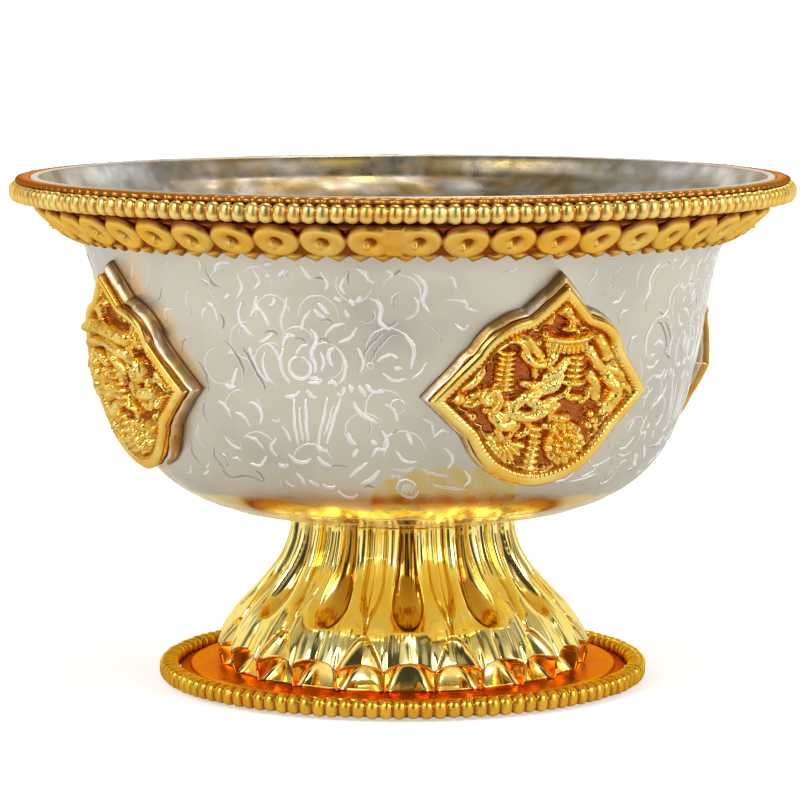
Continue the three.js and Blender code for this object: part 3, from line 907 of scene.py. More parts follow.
    def clouds(self) -> None:
        """Curls, crossing strands and round buds beside the blossom."""
        self.strokes((
            [(-12.3, 62.6), (-11.4, 63.9), (-9.2, 64.4)], [(-4.2, 64.1), (-3.0, 64.3)],
            [(-2.3, 62.4), (-1.2, 63.5)], [(1.2, 64.2), (1.8, 63.0), (2.4, 62.1)],
            [(-4.3, 62.5), (-3.4, 62.6)], [(-11.1, 59.2), (-10.0, 59.7)],
            [(8.9, 63.9), (9.6, 63.4), (10.0, 62.7)], [(12.9, 63.6), (13.4, 63.3), (13.7, 62.7)],
            [(16.5, 63.3), (17.6, 62.1), (17.9, 60.7), (17.4, 59.3), (18.2, 57.6)],
            [(5.3, 59.8), (6.4, 59.3)], [(7.6, 59.6), (8.0, 58.6)], [(8.5, 59.3), (9.1, 60.0)],
            [(10.2, 59.8), (11.3, 59.2), (11.7, 58.0), (11.4, 56.7), (11.9, 55.9), (12.8, 55.4)],
            [(3.2, 59.0), (3.8, 58.2), (4.5, 57.4)], [(2.5, 58.2), (3.1, 57.4), (4.0, 57.0)],
            [(-3.1, 59.6), (-3.3, 58.9), (-4.0, 58.4)], [(-6.6, 57.9), (-5.5, 57.7)],
            [(14.7, 54.8), (15.4, 53.8), (15.8, 52.6), (15.6, 51.2), (15.2, 50.0)],
            [(13.0, 50.2), (14.0, 50.0)], [(6.8, 47.8), (7.1, 46.6)],
            [(8.1, 47.6), (8.4, 46.9), (8.9, 46.1)], [(9.0, 47.8), (9.7, 46.9), (11.4, 46.8)],
            [(7.2, 45.4), (7.4, 44.5), (8.1, 43.6), (9.2, 42.9), (10.1, 42.4)],
            [(5.9, 41.0), (6.2, 39.9), (6.9, 39.2)], [(9.1, 40.0), (9.6, 39.2)],
            [(14.0, 41.0), (14.3, 40.3), (14.5, 39.3)], [(6.1, 37.5), (7.0, 38.6)],
            [(-9.8, 49.4), (-10.4, 48.0), (-11.0, 46.6)], [(-11.0, 51.6), (-10.1, 51.6)],
            [(-12.2, 47.0), (-11.2, 46.7), (-10.2, 46.8)], [(-7.6, 52.6), (-7.3, 51.5)],
        ), 0.52)
        self.strokes((
            [(-5.8, 59.7), (-6.4, 57.9), (-7.1, 56.6)], [(6.7, 58.1), (7.3, 57.0)],
            [(-8.6, 62.8), (-8.0, 60.8), (-9.0, 59.2)], [(-14.2, 58.6), (-12.8, 57.4), (-12.4, 55.6)],
            [(-6.0, 63.6), (-5.2, 61.8), (-6.2, 60.6)], [(7.2, 62.6), (6.4, 61.4), (7.0, 60.2)],
            [(3.8, 63.2), (4.6, 61.8), (4.2, 60.6)], [(10.6, 51.0), (12.4, 52.0), (13.6, 51.4)],
            [(11.4, 49.4), (12.8, 48.4), (14.6, 48.6)], [(11.4, 45.2), (12.6, 44.2), (12.8, 42.6)],
            [(10.6, 41.4), (11.2, 39.8), (10.6, 38.2)], [(12.2, 38.4), (13.2, 37.0), (14.8, 36.8)],
            [(-13.8, 44.6), (-12.2, 43.8), (-11.6, 42.2)], [(-10.8, 43.2), (-9.4, 42.6), (-8.4, 41.0)],
            [(-7.2, 44.8), (-6.4, 43.2), (-6.9, 41.6)], [(-9.6, 39.8), (-8.0, 39.4), (-6.8, 38.0)],
            [(-13.2, 39.6), (-12.0, 38.2), (-10.4, 37.8)], [(-6.6, 37.0), (-7.8, 35.6), (-9.6, 35.8)],
            [(-4.6, 39.8), (-5.6, 38.4), (-4.9, 37.0)], [(8.8, 37.4), (9.6, 38.6), (11.0, 38.6)],
            [(8.3, 52.8), (8.9, 50.9), (8.2, 49.2)],
        ), 0.4)
        self.strokes((
            [(-14.3, 64.2), (-13.0, 61.2), (-11.2, 60.5)],
            [(-11.7, 53.2), (-10.3, 52.0), (-8.9, 49.3), (-9.0, 46.7)],
            [(-8.6, 52.3), (-7.6, 50.6), (-6.4, 48.3), (-5.5, 46.8)],
            [(-11.9, 56.8), (-11.5, 55.8), (-11.8, 54.8)], [(8.7, 51.4), (10.0, 53.3), (11.7, 54.8)],
            [(9.6, 50.5), (10.8, 52.6), (12.6, 54.5), (13.8, 54.8)], [(7.9, 49.2), (9.3, 49.9)],
            [(3.0, 62.4), (4.4, 62.2)], [(12.0, 40.9), (13.0, 41.3)], [(13.8, 62.9), (15.0, 63.6)],
            [(12.6, 55.8), (13.8, 56.4)],
        ), 0.44, 1.0)
        for x, y, radius in ((-0.8, 62.7, 0.4), (9.8, 50.4, 0.35), (13.2, 44.8, 0.9), (-8.2, 54.6, 0.7)):
            self.draw(arc(x, y, radius, 0, 350, 14), 0.36, 0.6)

    def bud(self) -> None:
        """Hatched bud on the gilt leaf, with the ribs of the leaf."""
        x, y, radius = 12.8, 32.8, 1.35
        self.draw(arc(x, y, radius, 0, 350, 20), 0.4, 0.6)
        for shift in (-0.7, -0.25, 0.2, 0.65):
            self.draw([(x + shift - 0.5, y - 0.7), (x + shift + 0.4, y + 0.7)], 0.3, 0.5)
        self.strokes((
            [(11.0, 36.0), (12.8, 35.6), (14.4, 36.0)], [(15.2, 35.8), (17.0, 35.0), (19.0, 34.6)],
            [(10.6, 34.4), (11.6, 34.7), (12.4, 34.2)], [(16.4, 33.4), (18.6, 32.8), (21.0, 32.6)],
        ), 0.36, 0.5)

    def filler(self, count: int = 46) -> None:
        """Short arcs of cloud, like scales, wherever the drawing leaves room."""
        taken = np.vstack(self.drawn)
        for _ in range(count * 9):
            if count == 0:
                break
            x, y = self.shake.uniform(*self.room), self.shake.uniform(self.low, self.high)
            inside = abs(x) < self.waist + self.widening * abs(y - self.waist_height)
            if not inside or np.min(np.hypot(taken[:, 0] - x, taken[:, 1] - y)) < self.clear:
                continue
            start, radius = self.shake.uniform(0, 360), self.shake.uniform(0.8, 1.9)
            path = arc(x, y, radius, start, start + self.shake.uniform(70, 150), 9)
            self.draw(path, self.shake.uniform(0.3, 0.42), self.shake.choice([0.1, 0.15, 0.9]))
            taken = np.vstack([taken, path])
            count -= 1

    def build(self) -> None:
        """Draws the panel."""
        self.shake = np.random.default_rng(self.seed)
        self.drawn: list[Array] = []
        self.outlines()
        self.blossom()
        self.stems()
        self.clouds()
        self.bud()
        self.filler()


@dataclass
class PlaqueMargin:
    """Strokes of cloud and grass round one plaque, measured from its middle."""

    lines: LineWork
    turn: float
    seed: int
    middle: float = 46.5
    high: float = 64.2
    width: float = 0.46
    wobble: float = 0.05

    def build(self) -> None:
        """Draws the strokes, clear of the plaque."""
        draw = np.random.default_rng(self.seed)
        for path in (
            [(-15.5, 16.1), (-14.4, 15.9), (-13.6, 14.3)],
            [(-15.0, 13.0), (-12.5, 12.8), (-11.8, 11.8), (-10.4, 11.4)],
            [(-17.2, 9.8), (-16.1, 9.1), (-14.9, 7.4)], [(-7.5, 16.6), (-6.4, 16.8), (-5.4, 17.2)],
            [(6.9, 16.7), (6.7, 15.6), (5.6, 14.2)],
            [(11.4, 16.6), (10.5, 15.5), (10.0, 14.2), (8.8, 12.9)],
            [(15.6, 17.0), (15.0, 15.2), (14.9, 13.2)], [(14.0, 10.6), (12.6, 10.2), (12.4, 8.8)],
            [(16.6, 6.8), (15.2, 6.2), (14.6, 4.6)], [(17.6, 3.4), (18.4, 1.6), (18.2, -0.6)],
            [(17.0, -2.2), (16.2, -3.6), (16.4, -5.2)], [(14.4, -5.6), (13.2, -7.4), (13.8, -9.2)],
            [(11.6, -8.4), (10.4, -10.0), (10.8, -11.6)], [(8.4, -12.2), (7.0, -13.4), (5.2, -13.6)],
            [(15.8, -8.6), (15.0, -10.4), (15.6, -12.0)], [(13.0, -11.4), (11.6, -12.8), (9.8, -13.4)],
            [(-12.8, -7.6), (-11.4, -9.2), (-11.8, -10.8)],
            [(-9.4, -11.0), (-8.2, -12.4), (-8.6, -13.6)],
            [(-14.8, -6.2), (-13.6, -5.2), (-12.4, -5.4)],
            [(-16.6, -3.4), (-15.2, -4.2), (-14.6, -5.8)], [(-16.8, 4.4), (-17.6, 2.8), (-18.6, 2.2)],
            [(-13.4, 9.6), (-12.2, 8.8), (-11.6, 9.4)], [(18.2, 13.4), (17.4, 11.6), (17.9, 9.8)],
            [(12.8, 13.4), (11.9, 12.0), (10.6, 11.6)],
        ):
            points = smooth_path(path, 6) + np.array([0.0, self.middle])
            points = points + draw.normal(0.0, self.wobble, points.shape)
            points[:, 1] = np.minimum(points[:, 1], self.high)
            self.lines.line(self.turn, points, self.width, draw.choice([0.1, 0.15, 0.8]))


@dataclass
class SeatRings:
    """Turned lines on the gilt underside, round the foot."""

    lines: LineWork
    levels: tuple[float, ...] = (26.2, 27.6)
    step: int = 28
    points: int = 16

    def build(self) -> None:
        """Draws the rings."""
        for level in self.levels:
            half = self.step / 2 * math.pi * self.lines.wall.radius(level) / 180.0 * 0.98
            across = np.linspace(-half, half, self.points)
            path = np.column_stack([across, np.full(self.points, level)])
            for turn in range(0, 360, self.step):
                self.lines.line(float(turn), path, width=0.3, shade_and_patina=0.4, burr=0.05)


@dataclass
class BeadWire:
    """Beaded wire: barrel beads with a deep cut between two, each a little its own size."""

    node: str
    name: str
    count: int
    seed: int
    finish: MetalFinish
    cut: float = 0.34
    roundness: float = 0.75
    squareness: float = 0.72
    steps: int = 12
    sides: int = 20
    size_spread: float = 0.08
    drift: float = 0.07
    lean: float = 0.12
    soil: float = 0.22

    def build(self) -> None:
        """Makes the wire in the space of its node."""
        low, high = low_mm(self.node), high_mm(self.node)
        size = (high.z - low.z) / 2
        axis = high.x - size
        draw = np.random.default_rng(self.seed)
        columns = self.count * self.steps
        phase = (np.arange(columns) / self.steps + 0.5) % 1.0 - 0.5
        bead = ((np.arange(columns) / self.steps + 0.5).astype(int)) % self.count
        swell = 1.0 - draw.uniform(0.0, self.size_spread, self.count)[bead]
        crown = np.cos(math.pi * phase)
        shift = draw.uniform(-self.drift, self.drift, self.count)[bead] * crown
        tilt = draw.uniform(-self.lean, self.lean, self.count)[bead] * crown
        angles = even_angles(columns) + shift * (2 * math.pi / self.count)
        fullness = (1.0 - self.cut + self.cut * np.abs(crown) ** self.roundness) * swell
        round_wire = even_angles(self.sides)[:, None] + tilt[None, :]
        out, up = np.cos(round_wire), np.sin(round_wire)
        reach = size * fullness[None, :]
        radius = axis + reach * np.sign(out) * np.abs(out) ** self.squareness
        height = (low.z + high.z) / 2 + reach * np.sign(up) * np.abs(up) ** self.squareness
        # Painted shade in the cuts between beads; the soil drawn for each bead is its own tone.
        crevice_shade = 1.0 - ease(fullness / swell, 1.0 - self.cut, 0.93)
        soiled = draw.uniform(0.0, self.soil, self.count)[bead]
        shade_and_tone = unit(np.broadcast_to(crevice_shade * 0.95 + soiled, radius.shape))
        body = round_body(radius, height, angles, hubs=False, values={"shade_and_tone": shade_and_tone})
        body.piece(self.name, [self.finish], "gilt", [self.node])


@dataclass
class RimCap:
    """Flat strip beside the lip, its outer edge pressed down between the beads."""

    wall: SilverWall
    beads: int
    steps: int = 8
    nick: float = 0.42
    nick_down: float = 0.22
    seam: float = 0.12
    section_out: tuple = (0.0, 0.1, 0.4, 0.75, 0.95, 1.0, 0.97, 0.8, 0.1, 0.0)
    section_up: tuple = (0.3, 0.94, 1.0, 0.96, 0.7, 0.3, 0.0, 0.05, 0.05, 0.1)
    section_edge: tuple = (0.0, 0.0, 0.0, 0.35, 0.9, 1.0, 1.0, 0.6, 0.0, 0.0)

    def build(self) -> None:
        """Makes the strip with eased edges."""
        low, high = low_mm("rim_cap_strip"), high_mm("rim_cap_strip")
        inner, outer = self.wall.lip_radius + self.seam, high.x
        angles = even_angles(self.beads * self.steps)
        nicks = np.abs(np.sin(angles * self.beads / 2)) ** 0.6
        across, up, edge = (np.array(row)[:, None] for row in
                            (self.section_out, self.section_up, self.section_edge))
        radius = inner + (outer - inner) * across - self.nick * edge * nicks
        dents = Ripple(5, 5.0, 0.03).around(radius, angles, radius * 0.0)
        height = low.z + (high.z - low.z - 0.05) * up + np.minimum(dents, 0.03) * (up > 0.5)
        height = height - self.nick_down * edge * nicks
        # Painted shade along the strip's outer edge, deepest in the nicks between beads, and over the back
        # half of the rim.
        back = 0.5 * ease(np.sin(angles), 0.0, 0.6)
        shade_and_tone = unit(edge * (0.25 + 0.75 * nicks) + back)
        body = round_body(radius, height, angles, hubs=False, values={"shade_and_tone": shade_and_tone})
        body.piece("rim_cap", [CAP_GILT], "gilt", ["rim_cap_strip"])


@dataclass
class Collar:
    """Conical band under the rim and the frieze of touching rings that lies on it."""

    wall: SilverWall
    rings: int = 50
    first_ring: float = -4.9
    top: float = 70.85
    low: float = 65.15
    ring_radius: float = 3.35
    squash: float = 1.06
    centre_down: float = 3.35
    tooth: float = 1.3
    gap: float = 2.6
    band_low: float = 66.6
    band_high: float = 70.2
    band_out: float = 0.7
    band_gap: float = 0.12
    thickness: float = 0.95
    ground: float = 0.3
    flat: float = 0.9
    eye: tuple[float, float] = (1.5, 0.66)
    pearl: tuple[float, float] = (1.1, 0.4)
    ring_edge: float = 0.85
    ring_shift: float = 0.12
    ring_tilt: float = 0.035
    lap_down: float = 0.12
    rounding: float = 0.42
    seed: int = 21
    steps: int = 40
    rows: int = 44
    band_rows: int = 16
    band_columns: int = 360

    def band(self) -> None:
        """Sheet that lies round the flare, behind the rings."""
        levels = np.linspace(self.band_low, self.band_high, self.band_rows)
        face_radius, face_height = self.wall.off(levels, self.band_out)
        back_radius, back_height = self.wall.off(levels[::-1], self.band_gap)
        columns = self.band_columns
        radius = all_round(np.concatenate([face_radius, back_radius]), columns)
        height = all_round(np.concatenate([face_height, back_height]), columns)
        # The whole sheet takes the dark brown-red tone: partly its own colour, partly painted shade for the
        # gaps between the rings.
        values = {"shade_and_tone": np.ones(radius.shape)}
        body = round_body(radius, height, even_angles(columns), hubs=False, values=values)
        body.piece("collar_sheet", [FRIEZE_GILT], "matt_gilt", ["collar_band"])

    def ring_height(self, across: Array, up: Array, tilt: Array) -> Array:
        """Height of a ring over its ground: a broad domed face, a rounded edge and a punched eye.

        Args:
            across: Distance from the middle of the ring, along the strip.
            up: Distance from the middle of the ring, up the strip.
            tilt: How far each ring leans sideways, as height per millimetre.

        Returns:
            Share of the full thickness.
        """
        reach = np.hypot(across, up * self.squash)
        inward = unit((self.ring_radius - reach) / self.ring_edge)
        face = (1.02 - 0.05 * np.abs(reach - 1.9) + tilt * across) * np.sqrt(1.0 - (1.0 - inward) ** 2)
        eye = self.eye[0] * bump(np.hypot(across - 0.12, (up - 0.1) * 0.75), self.eye[1])
        pearl = self.pearl[0] * bump(np.hypot(across + 0.24, (up + 0.42) * 0.8), self.pearl[1])
        return face - eye + pearl

    def frieze(self) -> None:
        """Strip of rings with a lobed lower edge, and its lap between the two front rings."""
        draw = np.random.default_rng(self.seed)
        columns = self.rings * self.steps
        pitch = 360.0 / self.rings
        turn = np.arange(columns) * (360.0 / columns)
        offset = (turn - self.first_ring + pitch / 2) % pitch - pitch / 2
        ring = ((turn - self.first_ring + pitch / 2) // pitch).astype(int) % self.rings
        lap = (turn > self.first_ring) & (turn < self.first_ring + pitch)
        lap |= turn > 360.0 + self.first_ring
        middle_radius = self.wall.radius((self.top + self.low) / 2 + 0.7) + 1.3
        across = np.radians(offset) * middle_radius
        half = math.radians(pitch / 2) * middle_radius
        shift = draw.normal(0.0, self.ring_shift, self.rings)[ring] * (1.0 - (across / half) ** 2)
        run_top = np.interp(self.top, self.wall.heights, self.wall.run)
        run_low = np.interp(self.low, self.wall.heights, self.wall.run)
        middle = run_top - self.centre_down + shift
        half_height = self.ring_radius / self.squash
        shoulder = np.sqrt(np.maximum(self.ring_radius**2 - (across * 1.02) ** 2, 0.0)) / self.squash
        upper = np.maximum(run_top - half_height + shoulder, run_top - self.gap)
        upper = np.where(lap, run_top - self.lap_down, upper)
        tooth_number = (turn / pitch * 2).astype(int) % (self.rings * 2)
        tooth_size = self.tooth * draw.uniform(0.6, 1.1, self.rings * 2)[tooth_number]
        lower = run_low + tooth_size * np.abs(np.cos(math.pi * across / half)) ** 1.4
        share = np.linspace(0.0, 1.0, self.rows)[:, None]
        run = lower + (upper - lower) * share
        up = run - middle
        tilt = draw.normal(0.0, self.ring_tilt, self.rings)[ring]
        rings = self.ring_height(across, up, tilt)
        flat = self.flat - 0.04 * np.abs(up)
        joint = np.where(lap, ease(half - np.abs(across), 1.0, 1.9), 1.0)
        rings = np.maximum(flat + (rings - flat) * joint, self.ground)
        lobe = 0.12 + 0.66 * np.abs(np.sin(math.pi * across / half)) ** 0.8
        below = ease(-up, half_height - 0.45, half_height)
        height = np.where(up < -0.5, np.maximum(rings * (1 - below * 0.9), lobe * below), rings)
        from_edge = np.minimum(run - lower, upper - run)
        eased = np.sqrt(1.0 - (1.0 - np.clip(from_edge / self.rounding, 0.02, 1.0)) ** 2)
        height = height * (0.3 + 0.7 * eased)
        level = np.interp(run, self.wall.run, self.wall.heights)
        closing = ease(level, self.low - 0.2, self.low + 1.6)
        seat = (self.band_out + self.band_gap) * closing + 0.3 * (1 - closing)
        radius, level = self.wall.off(level, seat + self.thickness * (0.7 + 0.3 * closing) * height)
        back = np.interp(np.vstack([upper, lower]), self.wall.run, self.wall.heights)
        back_seat = np.array([[self.band_out + self.band_gap], [0.25]])
        back_radius, back_level = self.wall.off(back, np.broadcast_to(back_seat, back.shape))
        # Painted shade where the rings' relief is low, between and round them.
        shade_and_tone = unit(1.6 - 1.9 * height)
        # Darker along the lobed lower edge, by a random amount for each tooth.
        tooth_edge_darkness = draw.uniform(0.15, 1.0, self.rings * 2)[tooth_number]
        shade_and_tone = np.maximum(shade_and_tone, (1.0 - ease(from_edge, 0.1, 0.9)) * (up < -2.0) * tooth_edge_darkness)
        # The back rows take full painted shade.
        body = round_body(
            np.vstack([radius, back_radius]), np.vstack([level, back_level]),
            np.radians(turn - 90.0), hubs=False,
            values={"shade_and_tone": np.vstack([shade_and_tone, np.ones(back.shape)])},
        )
        body.piece("ring_frieze", [FRIEZE_GILT], "matt_gilt", ["collar_ring_frieze"])

    def build(self) -> None:
        """Makes the sheet and the frieze."""
        self.band()
        self.frieze()


@dataclass
class PetalFoot:
    """Foot of twelve main and twelve secondary petals that spread, turn under and end in keels."""

    pitch: float = 30.0
    first_petal: float = 2.0
    columns: int = 1440
    rows: int = 110
    neck_radius: float = 15.9
    lip_radius: float = 27.3
    lip_height: float = 3.15
    neck_pull: float = 9.2
    lip_pull: tuple[float, float] = (3.6, 7.4)
    gutter_depth: tuple[float, float] = (0.9, 2.1)
    gutter_half: tuple[float, float] = (3.6, 6.6)
    gutter_end: float = 0.735
    crease_at: float = 4.4
    apex: float = 0.77
    niche_radius: float = 24.0
    cove: float = 1.7
    keel_tip: float = 26.9
    fold_height: float = 1.45
    streak: float = 0.045
    crease_depth: float = 0.6
    crease_width: float = 0.55
    panel_depth: float = 0.5
    arch_half: float = 7.0
    arch_depth: float = 1.15
    bulge: float = 0.55
    lip_half: float = 6.6
    facet_depth: float = 0.4
    inner_shares: tuple = (0.93, 0.84, 0.7, 0.54, 0.4)
    toe_height: float = 1.6
    roll_in: tuple = (0.0, 0.12, 0.45, 1.0)
    roll_down: tuple = (0.1, 0.3, 0.48, 0.56)
    drop_rows: int = 15
    keel_sharpness: int = 16
    wall: float = 2.4
    neck_bore: float = 13.2
    bore_depth: float = 3.65
    inner_toe: float = 22.9

    def ridge(self, t: Array) -> tuple[Array, Array]:
        """Radius and height of the ridge line, from the neck at 0 to the lip at 1."""
        low, high = self.floor + self.lip_height, self.top
        out, up = self.lip_pull
        points = bezier([
            (self.neck_radius, high), (self.neck_radius, high - self.neck_pull),
            (self.lip_radius - out, low + up), (self.lip_radius, low),
        ], 301)
        steps = np.linspace(0.0, 1.0, 301)
        return np.interp(t, steps, points[:, 0]), np.interp(t, steps, points[:, 1])

    def carve(self, t: Array, main: Array) -> tuple[Array, Array]:
        """How far the petals are scooped in under the ridge line, and how much painted shade they get there.

        Args:
            t: Place along the ridge line, 0 at the neck and 1 at the lip.
            main: Degrees from the middle of the nearest main petal, 15 at most.

        Returns:
            Depth in millimetres, and the share of painted shade.
        """
        beside = self.pitch / 2 - main
        spread = ease(t, 0.0, 0.62)
        ending = unit((t - 0.42) / (self.gutter_end - 0.42))
        closing = np.sqrt(1.0 - ending**2.6)
        half = (self.gutter_half[0] + (self.gutter_half[1] - self.gutter_half[0]) * spread) * closing
        half = np.maximum(half, 0.02)
        depth = self.gutter_depth[0] + (self.gutter_depth[1] - self.gutter_depth[0]) * spread
        scoop = unit(1.0 - (main / half) ** 2.2) ** 0.6
        gutter = depth * scoop * closing**0.6
        gather = 1.0 - ease(t, 0.35, self.apex)
        crease_at = self.crease_at * gather
        live = 1.0 - ease(t, self.apex - 0.03, self.apex + 0.03)
        crease = self.crease_depth * bump(beside - crease_at, self.crease_width) * live
        panel = ease(crease_at - beside, -0.1, 0.5) * (1.0 - 0.8 * bump(beside, 0.8))
        panel = self.panel_depth * panel * live
        arch = unit((t - self.apex) / (1.0 - self.apex))
        arch_half = np.maximum(self.arch_half * arch**0.62, 0.02)
        inside = unit(1.0 - (beside / arch_half) ** 2.4)
        recess = self.arch_depth * inside**0.4 * ease(arch, 0.0, 0.22)
        band = unit((main - half) / np.maximum(self.pitch / 2 - crease_at - half, 0.6))
        bulge = self.bulge * np.sin(math.pi * band) ** 0.7 * (1.0 - 0.5 * ease(t, 0.7, 1.0))
        bulge = bulge * (beside > crease_at)
        lip = unit(1.0 - (main / self.lip_half) ** 2)
        lip = lip * ease(t, self.gutter_end, self.gutter_end + 0.1)
        facets = self.facet_depth * lip * (1.0 - np.abs(np.sin(math.pi / self.lip_half * main)))
        # Painted shade in the gutters, along the creases and in the arched recesses.
        dark = scoop * closing * (0.95 - 0.3 * ease(t, 0.3, 0.6))
        dark = dark + 0.5 * bump(beside - crease_at, 0.35) * live + 0.3 * recess
        return gutter + crease + panel + recess - bulge + facets, dark

    def unevenness(self, angles: Array, t: Array, radius: Array, height: Array) -> Array:
        """Dents and fine upright streaks of the planished metal."""
        dents = Ripple(3, 5.0, 0.035).around(radius, angles, height * 1.5)
        streaks = np.sin(137.0 * angles + 2.0 * np.sin(9.0 * angles))
        streaks = streaks + 0.7 * np.sin(211.0 * angles + 4.0 * t)
        return dents + self.streak * streaks * (0.5 + 0.5 * np.sin(17.0 * angles + 5.0 * t))

    def build(self) -> None:
        """Makes the foot as one closed skin, open below and in the neck."""
        self.floor, self.top = low_mm("foot_shell").z, high_mm("foot_shell").z
        turn = np.arange(self.columns) * (360.0 / self.columns)
        main = np.abs((turn - self.first_petal + self.pitch / 2) % self.pitch - self.pitch / 2)
        beside = self.pitch / 2 - main
        share = np.minimum(main, beside) / (self.pitch / 4)
        lip_end = np.where(main < beside, 1.0 - 0.05 * (1.0 - share**3), 1.0 - 0.03 * (1.0 - share**2))
        t = np.linspace(0.0, 1.0, self.rows)[:, None] * lip_end
        ridge_radius, ridge_height = self.ridge(t)
        depth, dark = self.carve(t, main)
        depth = depth * ease(t, -0.01, 0.02)
        keel = share**self.keel_sharpness
        depth = depth * (1.0 - keel * ease(t, 0.85, 0.97))
        radius, height = ridge_radius - depth, ridge_height
        angles = np.radians(turn - 90.0)
        dents = self.unevenness(angles, t, radius, height)
        radius = radius + dents * ease(t, 0.0, 0.06) * (1.0 - ease(t, 0.8, 0.95))

        edge_radius, edge_height = radius[-1:], height[-1:]
        roll_in, roll_down = np.array([self.roll_in, self.roll_down])[..., None]
        fold = self.floor + self.fold_height
        first = self.niche_radius + (self.lip_radius - self.niche_radius) * share**3
        roll_radius = edge_radius + (first - edge_radius) * roll_in
        roll_height = edge_height - roll_down
        drop = np.linspace(0.0, 1.0, self.drop_rows + 1)[1:, None]
        down_height = roll_height[-1:] + (self.floor - roll_height[-1:]) * drop
        slant = unit((fold - down_height) / self.fold_height)
        keel_radius = self.lip_radius - (self.lip_radius - self.keel_tip) * slant**1.3
        niche = self.niche_radius + self.cove * drop**2
        concave = share ** (3.0 + 6.0 * drop)
        down_radius = niche + (keel_radius - niche) * concave
        inner_radius, inner_height = self.ridge(all_round(self.inner_shares, self.columns))
        bore_height = all_round([self.top - self.bore_depth, self.top], self.columns)
        toe = all_round([self.inner_toe, self.inner_toe], self.columns)
        toe_height = all_round([self.floor, self.floor + self.toe_height], self.columns)
        radius = np.vstack([
            radius, roll_radius, down_radius, toe,
            np.minimum(inner_radius - self.wall, self.inner_toe), bore_height * 0.0 + self.neck_bore,
        ])
        height = np.vstack([height, roll_height, down_height, toe_height, inner_height, bore_height])
        # Painted shade: a little over the inside and underside, the carved shade on the petals, a band under
        # the lip, and full shade at the neck under the bowl.
        shade_and_tone = np.full(radius.shape, 0.3)
        shade_and_tone[:self.rows] = dark
        fold_end = self.rows + len(roll_in) + self.drop_rows
        shade_and_tone[self.rows - 1:fold_end] = 0.12 + 0.25 * (1.0 - share)
        shade_and_tone[:2] = 1.0
        pink = np.zeros(radius.shape)
        pink[self.rows - 2:fold_end] = share**9
        shade_and_tone = unit(shade_and_tone)
        body = round_body(radius, height, angles, hubs=False, values={"shade_and_tone": shade_and_tone, "gilding": pink})
        body.piece("petal_foot", [FOOT_GILT], "gilt", ["foot_shell"])


@dataclass
class BasePlate:
    """Round plate that the foot stands on: a planished raised middle and a ground by the beads."""

    columns: int = 360
    hole: float = 19.0
    ground_width: float = 1.5
    step: float = 0.7
    middle_rows: int = 24
    dent_wave: float = 5.0
    dent_depth: float = 0.035

    def build(self) -> None:
        """Makes the plate."""
        low, high = low_mm("base_plate"), high_mm("base_plate")
        outer, top = high.x, high.z
        edge, ground = outer - self.ground_width, top - self.step
        profile = [(self.hole, low.z), (self.hole, top - 0.1), (self.hole + 0.1, top)]
        first_middle = len(profile)
        profile += [(radius, top) for radius in np.linspace(self.hole + 1.0, edge - 0.8, self.middle_rows)]
        planished = slice(first_middle, len(profile) + 1)
        profile += [(edge - 0.4, top), (edge - 0.12, top - 0.04), (edge, top - 0.16)]
        profile += [(edge + 0.08, ground + 0.12), (edge + 0.25, ground), (outer - 0.1, ground)]
        profile += [(outer, ground - 0.1), (outer, low.z)]
        section = np.array(profile)
        angles = even_angles(self.columns)
        radius, height = all_round(section[:, 0], self.columns), all_round(section[:, 1], self.columns)
        dents = Ripple(9, self.dent_wave, self.dent_depth).around(radius, angles, radius * 0)
        height[planished] = np.minimum(height[planished] + dents[planished] - 0.04, top)
        # Painted shadow of the foot in a ring round its edge, and painted shade over the ground by the
        # beads.
        shade_and_tone = 0.45 * bump(radius - 26.6, 1.5) + 1.0 * (radius > edge + 0.05)
        # Painted reflection of the gilt foot: the plate is deeper orange at the front.
        front = unit(np.cos(angles + math.pi / 2))
        shade_and_tone = unit(shade_and_tone + 0.3 * front * bump(radius - 27.5, 3.0))
        body = round_body(radius, height, angles, hubs=False, values={"shade_and_tone": shade_and_tone})
        body.piece("base_dish", [PLATE_GILT], "copper_gilt", ["base_plate"])


